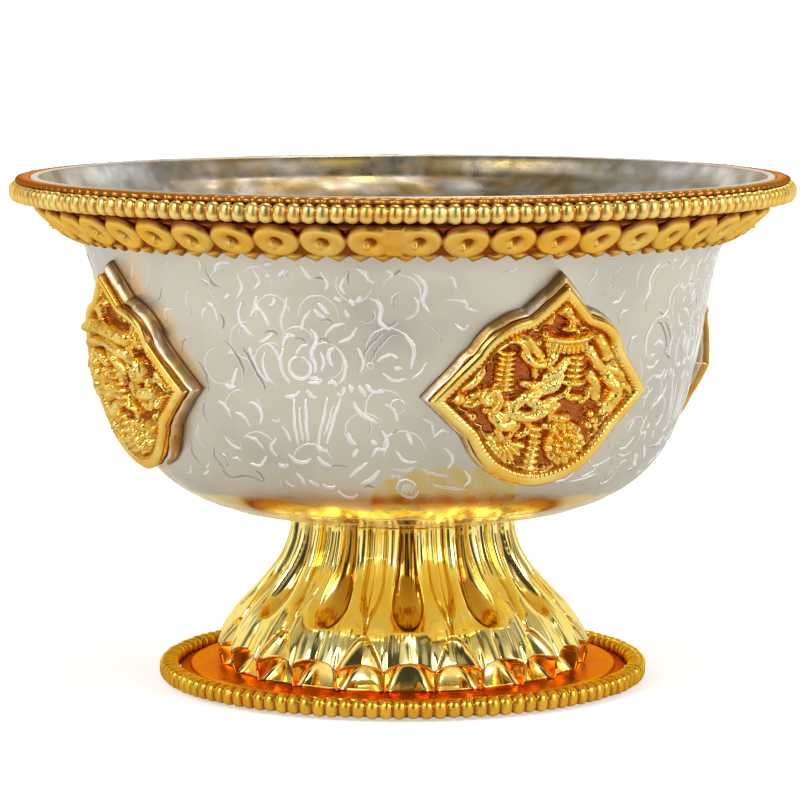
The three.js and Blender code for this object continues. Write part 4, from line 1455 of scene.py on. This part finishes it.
class Chasing:
    """Height of chased ornament over a set of points, raised form by form."""

    bold = 1.42
    proud = 1.1
    bare = 0.25
    pearl_every = 4

    def __init__(self, u: Array, v: Array) -> None:
        """Starts flat.

        Args:
            u: Across to each point.
            v: Up to each point.
        """
        self.u, self.v = u, v
        self.height = np.zeros(u.shape)

    def lift(self, shape: Array) -> None:
        """Keeps the higher of what is there and a new form."""
        self.height = np.maximum(self.height, shape)

    def cord(self, path: Array | list[tuple[float, float]], half: float, rise: float) -> None:
        """Rounded band along a smooth path, narrower at its ends.

        Args:
            path: A few points that it goes through.
            half: Half its width.
            rise: Its height.
        """
        points = smooth_path(path, 5)
        gap = path_distance(self.u, self.v, points) / (half * self.bold)
        ends = np.minimum(
            np.hypot(self.u - points[0, 0], self.v - points[0, 1]),
            np.hypot(self.u - points[-1, 0], self.v - points[-1, 1]),
        )
        crown = self.proud * rise * np.sqrt(unit(1.0 - gap**2))
        self.lift(crown * (0.7 + 0.3 * ease(ends, 0.0, 1.4)))

    def cords(self, paths: tuple, half: float, rise: float) -> None:
        """Several bands of one width."""
        for path in paths:
            self.cord(path, half, rise)

    def dome(self, x: float, y: float, half_width: float, half_height: float, rise: float,
             lean: float = 0.0) -> None:
        """Rounded oval mass.

        Args:
            x: Across to its middle.
            y: Up to its middle.
            half_width: Half its width.
            half_height: Half its height.
            rise: Its height over the ground.
            lean: Degrees that it leans.
        """
        c, s = math.cos(math.radians(lean)), math.sin(math.radians(lean))
        across = (self.u - x) * c + (self.v - y) * s
        up = (self.v - y) * c - (self.u - x) * s
        inside = 1.0 - (across / half_width) ** 2 - (up / half_height) ** 2
        self.lift(rise * np.sqrt(unit(inside)))

    def scroll(self, x: float, y: float, radius: float, start: float, turns: float, half: float,
               rise: float) -> None:
        """Curled band that ends in a bead."""
        gap = path_distance(self.u, self.v, spiral(x, y, radius, start, turns)[::2]) / (half * self.bold)
        self.lift(self.proud * rise * np.sqrt(unit(1.0 - gap**2)))
        self.dome(x, y, half * 1.3, half * 1.3, rise * 1.15)

    def fan(self, x: float, y: float, inner: float, outer: float, start: float, end: float, ribs: int,
            rise: float) -> None:
        """Pleats that spread from a point, each rounded.

        Args:
            x: Across to the point.
            y: Up to the point.
            inner: Radius where the pleats start.
            outer: Radius where they end.
            start: First angle, in degrees.
            end: Last angle, in degrees.
            ribs: Number of pleats.
            rise: Their height.
        """
        reach = np.hypot(self.u - x, self.v - y)
        angle = np.degrees(np.arctan2(self.v - y, self.u - x)) % 360.0
        share = (angle - start) / (end - start)
        inside = (share > 0) & (share < 1)
        wave = np.abs(np.sin(math.pi * ribs * share)) ** 0.6
        body = ease(reach, inner, inner + 0.4) * (1.0 - ease(reach, outer - 0.4 - 0.5 * (1 - wave), outer))
        self.lift(np.where(inside, rise * (0.45 + 0.55 * wave) * body, 0.0))

    def rosette(self, x: float, y: float, radius: float, petals: int, rise: float) -> None:
        """Open flower with a domed heart and two rings of petals."""
        self.fan(x, y, radius * 0.5, radius, 0, 360, petals, rise * 0.75)
        self.fan(x, y, radius * 0.22, radius * 0.62, 0, 360, petals - 3, rise)
        self.dome(x, y, radius * 0.26, radius * 0.26, rise * 1.15)

    def tiers(self, x: float, low: float, high: float, wide: float, narrow: float, count: int,
              rise: float) -> None:
        """Stack of flattened rolls, from its low end to its high end."""
        for k in range(count):
            share = (k + 0.5) / count
            half = (wide + (narrow - wide) * share) * self.bold
            thick = abs(high - low) / count * 0.56
            self.dome(x, low + (high - low) * share, half, thick, rise * (0.85 + 0.15 * share))

    def sprinkle(self, seed: int, room: Array, count: int) -> None:
        """Small curved leaves and pearls wherever the ground is still bare.

        Args:
            seed: Seed of the draw.
            room: Where they may be.
            count: How many.
        """
        draw = np.random.default_rng(seed)
        for k in range(count):
            free = np.flatnonzero((self.height < self.bare) & room)
            if len(free) == 0:
                break
            weight = np.hypot(self.u, self.v).flat[free]
            place = draw.choice(free, p=weight / weight.sum())
            x, y = self.u.flat[place], self.v.flat[place]
            if (k + 1) % self.pearl_every == 0:
                size = draw.uniform(0.45, 0.7)
                self.dome(x, y, size, size, draw.uniform(0.8, 1.2))
                continue
            heading, reach = draw.uniform(0, math.pi), draw.uniform(0.8, 1.5)
            step = np.array([math.cos(heading), math.sin(heading)]) * reach
            bow = np.array([-step[1], step[0]]) * draw.uniform(-0.6, 0.6)
            middle = np.array([x, y])
            half, rise = draw.uniform(0.32, 0.5), draw.uniform(0.9, 1.35)
            self.cord([middle - step, middle + bow, middle + step], half, rise)


class Emblem(Enum):
    """Auspicious signs that a plaque bears."""

    PARASOL_AND_LOTUS = "parasol and lotus"
    BANNER_AND_SHELL = "banner and shell"

    def chase(self, work: Chasing, room: Array, seed: int, filling: int) -> None:
        """Raises the emblem on the ground of a plaque, then fills the ground round it.

        Args:
            work: Ground that it is raised on.
            room: Where the filling may be.
            seed: Seed of the filling.
            filling: How many leaves and pearls are tried.
        """
        if self is Emblem.PARASOL_AND_LOTUS:
            self.parasol(work)
            bare = np.hypot((work.u + 4.35) / 0.9, (work.v - 3.4) / 2.5) < 1.0
            bare |= np.hypot(work.u + 11.2, work.v + 2.0) < 0.9
        else:
            self.banner(work)
            bare = np.hypot((work.u - 3.0) / 2.9, (work.v - 10.6) / 2.4) < 1.0
        work.sprinkle(seed, room & ~bare, filling)

    def parasol(self, work: Chasing) -> None:
        """Parasol on a stack of rolls under a jewel, a shell at its left and a lotus below right."""
        work.dome(1.4, 12.2, 1.2, 1.5, 1.9)
        work.cords((
            [(-1.0, 10.4), (-0.7, 12.4), (1.2, 14.6)], [(3.6, 10.6), (3.2, 12.6), (1.6, 14.6)],
        ), 0.5, 1.35)
        work.dome(2.0, 9.2, 1.3, 0.55, 1.7)
        work.cord([(-1.1, 8.0), (2.0, 7.75), (5.2, 8.2)], 0.42, 2.15)
        work.fan(2.0, 14.2, 6.7, 8.6, 250, 290, 8, 1.9)
        work.tiers(3.4, 2.3, 5.7, 1.1, 0.8, 4, 1.9)
        work.dome(3.35, 1.8, 2.0, 0.6, 2.05)
        work.dome(3.5, -0.2, 1.5, 0.7, 1.9)
        work.dome(2.0, -3.0, 1.7, 0.75, 1.7)
        work.cord([(-5.3, 8.1), (-3.8, 7.9), (-2.6, 6.4), (-1.9, 5.6)], 0.5, 1.5)
        work.cord([(-4.2, 6.0), (-3.1, 4.8), (-1.6, 4.5), (-0.2, 5.3), (0.2, 6.9)], 0.52, 1.6)
        work.cords(([(-0.6, 2.5), (0.9, 3.6), (1.9, 4.7)], [(-0.8, 0.9), (0.4, 1.4), (1.2, 2.6)]), 0.6, 1.5)
        work.tiers(-6.6, 1.0, 6.6, 1.2, 0.95, 8, 2.0)
        work.cord([(-7.9, 6.8), (-6.4, 8.0), (-4.7, 7.4), (-3.6, 5.6)], 0.42, 1.5)
        work.scroll(-8.5, 0.1, 1.75, 300, 1.15, 0.5, 1.6)
        work.cords((
            [(-4.7, -0.9), (-3.4, 0.2), (-1.9, 0.5)], [(-4.9, -2.3), (-2.4, -2.6), (0.0, -1.6)],
            [(-2.6, -0.6), (-1.0, -1.2), (0.5, -0.8)], [(-7.6, -2.4), (-6.4, -3.6), (-4.9, -3.7)],
        ), 0.62, 1.55)
        work.dome(-12.3, 0.0, 1.05, 0.9, 1.5)
        work.cord([(-9.8, 3.6), (-10.8, 2.2), (-12.0, 1.7)], 0.55, 1.3)
        work.cord([(8.9, 5.4), (10.2, 5.1), (10.9, 3.7)], 0.62, 1.5)
        work.cords((
            [(9.0, 3.4), (10.4, 2.8), (12.0, 1.7)], [(10.6, 1.2), (12.2, 0.6), (13.4, -0.3)],
        ), 0.5, 1.35)
        work.cord([(8.9, 1.9), (10.2, 0.4), (9.3, -1.9)], 0.75, 2.05)
        work.cords(([(5.5, 6.0), (6.4, 4.5), (7.9, 3.1)], [(6.9, 7.6), (7.7, 6.2), (8.4, 5.0)],
                    [(5.8, 2.6), (6.8, 1.2), (7.2, -0.4)]), 0.6, 1.5)
        for x, y in ((6.5, -2.7), (7.4, -3.7), (6.4, -4.3), (8.4, -2.6)):
            work.dome(x, y, 0.6, 0.6, 1.5)
        work.rosette(3.0, -6.4, 3.1, 12, 1.95)
        work.fan(-5.9, -5.6, 0.7, 3.3, 185, 355, 8, 1.75)
        work.tiers(-1.4, -10.8, -3.8, 0.9, 0.75, 8, 1.65)
        work.cord([(4.3, -10.2), (2.6, -10.9), (1.0, -10.4)], 0.45, 1.2)

    def banner(self, work: Chasing) -> None:
        """Rolled banner with a ribbon under it, a ribbed shell, scrolls and a flower below."""
        work.cord([(-9.2, 7.0), (-3.0, 7.4), (2.0, 7.0), (5.4, 6.3)], 0.85, 2.1)
        work.cord([(-9.2, 4.4), (-4.5, 5.1), (0.0, 5.3), (4.4, 3.9)], 0.62, 1.7)
        work.cord([(5.0, 11.0), (7.6, 9.6), (9.3, 6.9)], 0.85, 1.9)
        work.cords((
            [(-6.4, 9.4), (-4.6, 9.9), (-3.2, 11.6)], [(-1.6, 9.0), (-1.2, 11.0), (-0.2, 13.0)],
            [(-7.0, 2.8), (-4.8, 3.2), (-3.0, 2.2)], [(-0.6, 3.6), (1.4, 3.0), (3.0, 1.6)],
        ), 0.55, 1.5)
        work.scroll(7.0, 1.8, 1.8, 120, -1.15, 0.52, 1.7)
        work.scroll(-7.6, 0.4, 1.8, 60, 1.15, 0.52, 1.7)
        work.cord([(5.4, -0.4), (7.2, -1.2), (9.2, -0.9)], 0.75, 1.8)
        work.cord([(4.0, -1.8), (4.3, -2.8), (5.2, -3.7)], 0.42, 2.1)
        work.fan(9.3, -0.6, 0.8, 4.1, 295, 355, 5, 1.75)
        work.fan(-9.6, -0.8, 0.8, 3.8, 190, 260, 5, 1.6)
        work.tiers(0.2, -3.6, 2.0, 1.9, 1.1, 6, 1.85)
        work.cords(([(-2.6, -1.4), (-4.2, -2.6), (-5.8, -2.4)], [(-3.0, -4.0), (-4.6, -5.2), (-6.6, -5.0)],
                    [(11.4, 1.6), (12.8, 0.6), (14.0, -0.6)], [(-11.0, 2.4), (-12.4, 1.2), (-13.4, -0.2)],
                    [(6.6, -5.6), (8.2, -6.2), (9.2, -5.4)]), 0.6, 1.5)
        work.rosette(3.4, -7.6, 2.9, 11, 1.85)
        work.fan(-4.6, -6.4, 0.7, 3.1, 190, 350, 7, 1.6)
        work.tiers(-0.6, -11.0, -4.6, 0.85, 0.7, 7, 1.5)


@dataclass
class PlaqueShape:
    """Flat shape shared by the four plaques: a barbed lozenge with rounded upper and lower sides."""

    top: float = 16.6
    cusp: tuple[float, float] = (4.9, 11.7)
    shoulder: tuple[float, float] = (10.0, 10.4)
    notch: tuple[float, float] = (11.4, 6.6)
    side: tuple[float, float] = (17.4, -0.4)
    low_notch: tuple[float, float] = (11.2, -6.0)
    belly: tuple[float, float] = (7.5, -12.6)
    low: float = -12.9
    around: int = 440
    rings: int = 104
    strip_width: float = 0.85
    lean: float = 1.2

    def __post_init__(self) -> None:
        """Finds the outline, the edge of the relief and how far in each point of the relief is."""
        t = np.linspace(0, 1, 40, endpoint=False)[:, None]
        corners = [(0.0, self.top), self.cusp, self.notch, self.side, self.low_notch, (0.0, self.low)]
        pulls = [None, self.shoulder, None, None, self.belly]
        sides = []
        for start, end, pull in zip(corners, corners[1:], pulls):
            a, c = np.array(start), np.array(end)
            b = (a + c) / 2 if pull is None else np.array(pull)
            sides.append((1 - t) ** 2 * a + 2 * t * (1 - t) * b + t**2 * c)
        half = np.vstack(sides)
        whole = np.vstack([half, [[0.0, self.low]], half[1:][::-1] * np.array([-1.0, 1.0]), half[:1]])
        whole[:, 0] += self.lean * ease(whole[:, 1], self.notch[1] - 3.0, self.top)
        run = np.concatenate([[0], np.cumsum(np.hypot(*np.diff(whole, axis=0).T))])
        even = np.linspace(0, run[-1], self.around, endpoint=False)
        self.outline = np.column_stack([np.interp(even, run, whole[:, k]) for k in (0, 1)])
        self.closed = np.vstack([self.outline, self.outline[:1]])
        self.shares = np.linspace(0.6, 1.0, 81)
        rays = self.outline[None, :, :] * self.shares[:, None, None]
        self.reach = path_distance(rays[..., 0], rays[..., 1], self.closed)
        edge = self.inset(np.full(self.around, self.strip_width + 0.05))
        share = np.linspace(1.0 / self.rings, 1.0, self.rings)[:, None]
        self.flat = edge[None, :, :] * share[..., None]
        self.inward = path_distance(self.flat[..., 0], self.flat[..., 1], self.closed) - self.strip_width
        self.edge = edge

    def inset(self, distance: Array) -> Array:
        """Outline drawn in by a distance at each of its points."""
        share = [np.interp(d, reach[::-1], self.shares[::-1]) for d, reach in zip(distance, self.reach.T)]
        return self.outline * np.array(share)[:, None]


@dataclass
class Plaque:
    """Barbed plaque: a hammered strip on the silver and the chased relief that sits in it."""

    wall: SilverWall
    shape: PlaqueShape
    place: str
    turn: float
    emblem: Emblem
    seed: int
    height: float = 22.0
    border: float = 1.6
    border_out: float = 2.95
    border_crown: float = 0.65
    crown_at: float = 0.7
    crown_half: float = 0.85
    frame_in: float = 0.75
    frame_wave: float = 0.4
    frame_rise: float = 0.6
    frame_width: float = 0.22
    filling: int = 24
    tick_at: float = 1.35
    tick_width: float = 0.35
    ticks: int = 120
    tick_depth: float = 0.16
    lobes: int = 46
    ground: float = 1.75
    tooling: float = 0.012
    strip_in: tuple = (0.02, 0.04, 0.2, 0.44, 0.66, 0.78, 0.85, 0.85)
    strip_out: tuple = (0.02, 0.42, 1.05, 1.5, 1.74, 1.74, 1.5, 0.02)
    strip_loose: tuple = (0.0, 0.3, 1.0, 1.0, 0.8, 0.5, 0.0, 0.0)
    # Painted shade on the strip: dark at its foot on the silver and at its inner edge under the relief.
    strip_shade: tuple = (1.0, 0.85, 0.45, 0.15, 0.0, 0.0, 0.6, 0.9)
    back_share: tuple = (1.0, 1.0, 1.0, 0.75, 0.5, 0.25)
    back_out: tuple = (1.6, 0.9, 0.25, 0.25, 0.25, 0.25)

    def on_wall(self, points: Array, out: Array) -> Array:
        """Carries flat points onto the bowl, standing off the silver."""
        level = self.wall.bottom + self.height + points[..., 1]
        return self.wall.place(self.turn, points[..., 0], level, out)

    def strip(self) -> None:
        """Side strip that leans in from the silver, hammered in short facets."""
        around = self.shape.around
        draw = np.random.default_rng(self.seed)
        blows = np.repeat(draw.normal(0, 1, around // 8), 8)
        dents = np.convolve(np.tile(blows, 3), np.ones(4) / 4, "same")[around:2 * around]
        wander = np.convolve(np.tile(draw.normal(0, 1, around), 3), np.ones(14) / 14, "same")
        wander = wander[around:2 * around] * 0.3
        rows = []
        for inward, out, share in zip(self.strip_in, self.strip_out, self.strip_loose):
            drawn_in = np.clip(inward + share * (0.1 * dents + wander * 0.5), 0.0, self.shape.strip_width)
            rows.append(self.on_wall(self.shape.inset(drawn_in), out + 0.09 * share * dents))
        shade_and_tone = all_round(self.strip_shade, around)
        faces = [grid_faces(len(rows), around, wrap_rows=True)]
        body = Body(np.stack(rows).reshape(-1, 3), faces, {"shade_and_tone": shade_and_tone.reshape(-1)})
        name = f"plaque_strip_{self.place}"
        body.piece(f"hammered_strip_{self.place}", [STRIP_SILVER], "strip_silver", [name])

    def relief(self) -> None:
        """Chased relief with its ticked border, lobed frame, stippled ground and emblem."""
        shape = self.shape
        u, v = shape.flat[..., 0], shape.flat[..., 1]
        inward = np.maximum(shape.inward, 0.0)
        along = (np.arange(shape.around) / shape.around)[None, :]
        stipple = np.sin(u * 9.1 + 1.3 * np.sin(v * 7.7)) * np.sin(v * 8.7 + 1.9 * np.sin(u * 6.1))
        ground = self.ground + 0.08 * stipple
        crown = np.sqrt(unit(1.0 - ((inward - self.crown_at) / self.crown_half) ** 2))
        ticks = self.tick_depth * np.cos(2 * math.pi * along * self.ticks)
        ticks = ticks * bump(inward - self.tick_at, self.tick_width)
        bordered = self.border_out - self.border_crown + self.border_crown * crown + ticks
        into_field = ease(inward, self.border - 0.2, self.border + 0.25)
        waves = np.abs(np.sin(math.pi * along * self.lobes))
        frame_at = self.border + self.frame_in - self.frame_wave * waves
        work = Chasing(u, v)
        work.lift(self.frame_rise * bump(inward - frame_at, self.frame_width))
        self.emblem.chase(work, inward > self.border + 0.5, self.seed, self.filling)
        lumps = work.height * ease(inward, self.border - 0.1, self.border + 0.5)
        tooling = self.tooling * stipple * (work.height > 0.3)
        surface = bordered * (1 - into_field) + (ground + lumps + tooling) * into_field
        # Painted shade: the ground darkens to red-brown where the chased forms are low, and the border
        # darkens off its crown.
        field_dark = unit(0.95 + 0.1 * stipple - lumps / 0.95)
        shade_and_tone = into_field * field_dark + (1 - into_field) * 0.5 * (1 - crown)
        back = shape.edge[None, :, :] * np.array(self.back_share)[:, None, None]
        outs = np.vstack([surface, all_round(self.back_out, shape.around)])
        points = self.on_wall(np.concatenate([shape.flat, back]), outs).reshape(-1, 3)
        hubs = self.on_wall(np.zeros((2, 2)), np.array([surface[0].mean(), 0.25]))
        rows = shape.rings + len(self.back_share)
        faces = [
            grid_faces(rows, shape.around, wrap_rows=False),
            fan_faces(0, shape.around, rows * shape.around, True),
            fan_faces((rows - 1) * shape.around, shape.around, rows * shape.around + 1, False),
        ]
        # The back rows and the back hub take painted shade.
        depth = np.vstack([shade_and_tone, np.full((len(self.back_share), shape.around), 0.8)]).reshape(-1)
        body = Body(np.vstack([points, hubs]), faces, {"shade_and_tone": np.append(depth, [0.0, 0.8])})
        node = f"plaque_relief_{self.place}"
        body.piece(f"chased_relief_{self.place}", [RELIEF_GILT], "gilt", [node])

    def build(self) -> None:
        """Makes the strip and the relief."""
        self.strip()
        self.relief()


class Fastening:
    """Stud, disc, washer and nut inside the foot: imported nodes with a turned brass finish."""

    nodes = ("foot_neck_disc", "bowl_stud", "stud_washer", "stud_nut")

    def build(self) -> None:
        """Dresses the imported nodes."""
        for name in self.nodes:
            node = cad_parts[name]
            if not node.material_slots:
                node.data.materials.append(None)
            node.material_slots[0].material = TURNED_BRASS.material()
            LOG.info("%s: kept from the packed model", name)


@dataclass(frozen=True)
class RoomPatch:
    """Soft-edged patch of the room, by how far it lies to each side and how high, and its level."""

    turn: float
    turn_half: float
    turn_soft: float
    rise: float
    rise_half: float
    rise_soft: float
    level: float

    def share(self, shader: Shader, turn: object, rise: object) -> bpy.types.NodeSocket:
        """Share of the patch in a direction, from 0 to 1."""
        across = self.window(shader, turn, self.turn, self.turn_half, self.turn_soft)
        up = self.window(shader, rise, self.rise, self.rise_half, self.rise_soft)
        return shader.maths("MULTIPLY", across, up)

    @staticmethod
    def window(shader: Shader, value: object, middle: float, half: float, soft: float) -> object:
        """Soft band of a value: 1 within `half` of `middle`, falling to 0."""
        gap = shader.maths("ABSOLUTE", shader.maths("SUBTRACT", value, middle))
        return shader.spread(gap, half - soft, half + soft, 1.0, 0.0)


@dataclass
class Studio:
    """White sweep, a dim room with soft boxes, and the camera of the photograph."""

    distance: float = 560.45
    elevation: float = 6.632
    look_height: float = 40.76
    look_across: float = -0.4
    focal_pixels: float = 3821.8
    picture_pixels: float = 800.0
    room: float = 0.5
    zenith: float = 0.12
    zenith_edge: tuple[float, float] = (0.8, 0.94)
    backdrop: tuple[float, float] = (1.3, 0.2)
    backdrop_edge: tuple[float, float] = (0.45, 0.7)
    bright_box: RoomPatch = RoomPatch(0.86, 0.4, 0.1, 0.3, 0.36, 0.14, 0.75)
    dark_slots: tuple[RoomPatch, ...] = (
        RoomPatch(0.0, 0.24, 0.06, 0.25, 0.65, 0.12, 0.07),
        RoomPatch(1.5, 0.14, 0.06, 0.25, 0.55, 0.12, 0.12),
    )
    lamps: tuple = (
        ("key", (-0.42, -0.5, 0.5), 0.3, 2.3),
        ("fill", (0.55, -0.38, 0.34), 0.26, 1.5),
        ("top", (0.1, 0.25, 0.75), 0.3, 1.4),
    )
    sweep_front: float = -0.19
    sweep_half: float = 2.0
    sweep_down: float = 0.0002
    cloth: float = 0.75
    lift_reach: tuple[float, float] = (0.05, 0.4)
    mirrored_reach: tuple[float, float] = (0.06, 0.5)
    near_lift: float = 0.5
    far_lift: float = 0.85
    near_mirrored: float = 0.1
    far_mirrored: float = 0.5

    def camera(self) -> None:
        """Camera at the place that the rim and base ellipses give."""
        data = bpy.data.cameras.new("camera")
        data.sensor_width = 36.0
        data.lens = self.focal_pixels * data.sensor_width / self.picture_pixels
        data.clip_end = 20.0
        camera = put("camera", data)
        tilt = math.radians(self.elevation)
        target = Vector((self.look_across, 0.0, self.look_height)) * MM
        back = Vector((0.0, -math.cos(tilt), math.sin(tilt)))
        camera.location = target + back * self.distance * MM
        point_along(camera, -back)
        bpy.context.scene.camera = camera

    def lamp(self, name: str, place: tuple, size: float, watts: float) -> None:
        """Square soft light that faces the bowl.

        Args:
            name: Its name.
            place: Where it stands, in metres.
            size: Its side, in metres.
            watts: Its power.
        """
        data = bpy.data.lights.new(name, "AREA")
        data.size = size
        data.energy = watts
        lamp = put(name, data)
        lamp.location = place
        point_along(lamp, Vector((0.0, 0.0, 0.035)) - Vector(place))
        lamp.visible_camera = False

    def world(self) -> None:
        """White behind the bowl; round it, a room with two bright boxes and three dark slots."""
        world = bpy.data.worlds.new("studio")
        bpy.context.scene.world = world
        shader = Shader(world)
        way = shader.add("SeparateXYZ", {0: shader.add("TexCoord").outputs["Generated"]})
        rise = way.outputs[2]
        ahead = shader.maths("MULTIPLY", way.outputs[1], -1.0)
        turn = shader.maths("ABSOLUTE", shader.maths("ARCTAN2", way.outputs[0], ahead))
        level = shader.spread(rise, *self.zenith_edge, self.room, self.zenith)
        box = self.bright_box.share(shader, turn, rise)
        level = shader.maths("ADD", level, shader.maths("MULTIPLY", box, self.bright_box.level))
        for slot in self.dark_slots:
            share = slot.share(shader, turn, rise)
            level = shader.add("Mix", {0: share, 2: level, 3: slot.level}).outputs[0]
        behind = RoomPatch.window(shader, turn, math.pi, *self.backdrop)
        behind = shader.maths("MULTIPLY", behind, shader.spread(rise, *self.backdrop_edge, 1.0, 0.0))
        seen, mirrored = shader.rays()
        sight = shader.maths("MAXIMUM", seen, shader.maths("MULTIPLY", mirrored, behind))
        strength = shader.maths("MAXIMUM", level, sight)
        sky = shader.add("Background", {"Color": (1, 1, 1, 1), "Strength": strength})
        shader.add("OutputWorld", {"Surface": sky.outputs[0]})

    def floor(self) -> None:
        """Pale sweep, lifted to white for the camera and the metal, that keeps the shadow."""
        half, front = self.sweep_half, self.sweep_front
        corners = [(-half, front, 0), (half, front, 0), (half, half, 0), (-half, half, 0)]
        mesh = bpy.data.meshes.new("floor")
        mesh.from_pydata(corners, [], [(0, 1, 2, 3)])
        floor = put("floor", mesh)
        floor.location.z = -self.sweep_down
        material = bpy.data.materials.new("floor")
        shader = Shader(material)
        cloth = shader.add("BsdfDiffuse", {"Color": (self.cloth, self.cloth, self.cloth, 1)})
        place = shader.add("TexCoord").outputs["Object"]
        away = shader.add("VectorMath", {0: place}, operation="LENGTH").outputs["Value"]
        lift = shader.spread(away, *self.lift_reach, self.near_lift, self.far_lift)
        seen, mirrored = shader.rays()
        in_metal = shader.spread(away, *self.mirrored_reach, self.near_mirrored, self.far_mirrored)
        mirrored = shader.maths("MULTIPLY", mirrored, in_metal)
        lift = shader.maths("MAXIMUM", shader.maths("MULTIPLY", seen, lift), mirrored)
        glow = shader.add("Emission", {"Color": (1, 1, 1, 1), "Strength": lift})
        both = shader.add("AddShader", {0: cloth.outputs[0], 1: glow.outputs[0]})
        shader.add("OutputMaterial", {"Surface": both.outputs[0]})
        mesh.materials.append(material)

    def build(self) -> None:
        """Sets the stage."""
        bpy.context.scene.view_settings.view_transform = "Standard"
        self.camera()
        self.world()
        self.floor()
        for lamp in self.lamps:
            self.lamp(*lamp)


def main() -> None:
    """Builds the bowl and its stage."""
    logging.basicConfig(level=logging.INFO, format="%(name)s %(message)s")
    Studio().build()
    wall = SilverWall()
    SilverBowl(wall).build()
    lines = LineWork(wall)
    first_plaque, rim_beads, base_beads = 26.3, 182, 115
    shape = PlaqueShape()
    for k, place in enumerate(("front_right", "back_right", "back_left", "front_left")):
        turn = first_plaque + 90.0 * k
        emblem = Emblem.PARASOL_AND_LOTUS if k % 2 == 0 else Emblem.BANNER_AND_SHELL
        Plaque(wall, shape, place, turn, emblem, seed=40 + k).build()
        PlaqueMargin(lines, turn, seed=60 + k).build()
        LotusPanel(lines, turn - 45.0, seed=80 + k, mirrored=k % 2 == 1).build()
    SeatRings(lines).build()
    lines.build()
    BeadWire("rim_bead_wire", "rim_beads", rim_beads, seed=1, finish=BEAD_GILT).build()
    RimCap(wall, rim_beads).build()
    Collar(wall).build()
    PetalFoot().build()
    BasePlate().build()
    BeadWire("base_bead_wire", "base_beads", base_beads, seed=2, finish=BASE_BEAD_GILT).build()
    Fastening().build()
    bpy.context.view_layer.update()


if __name__ == "__main__":
    main()
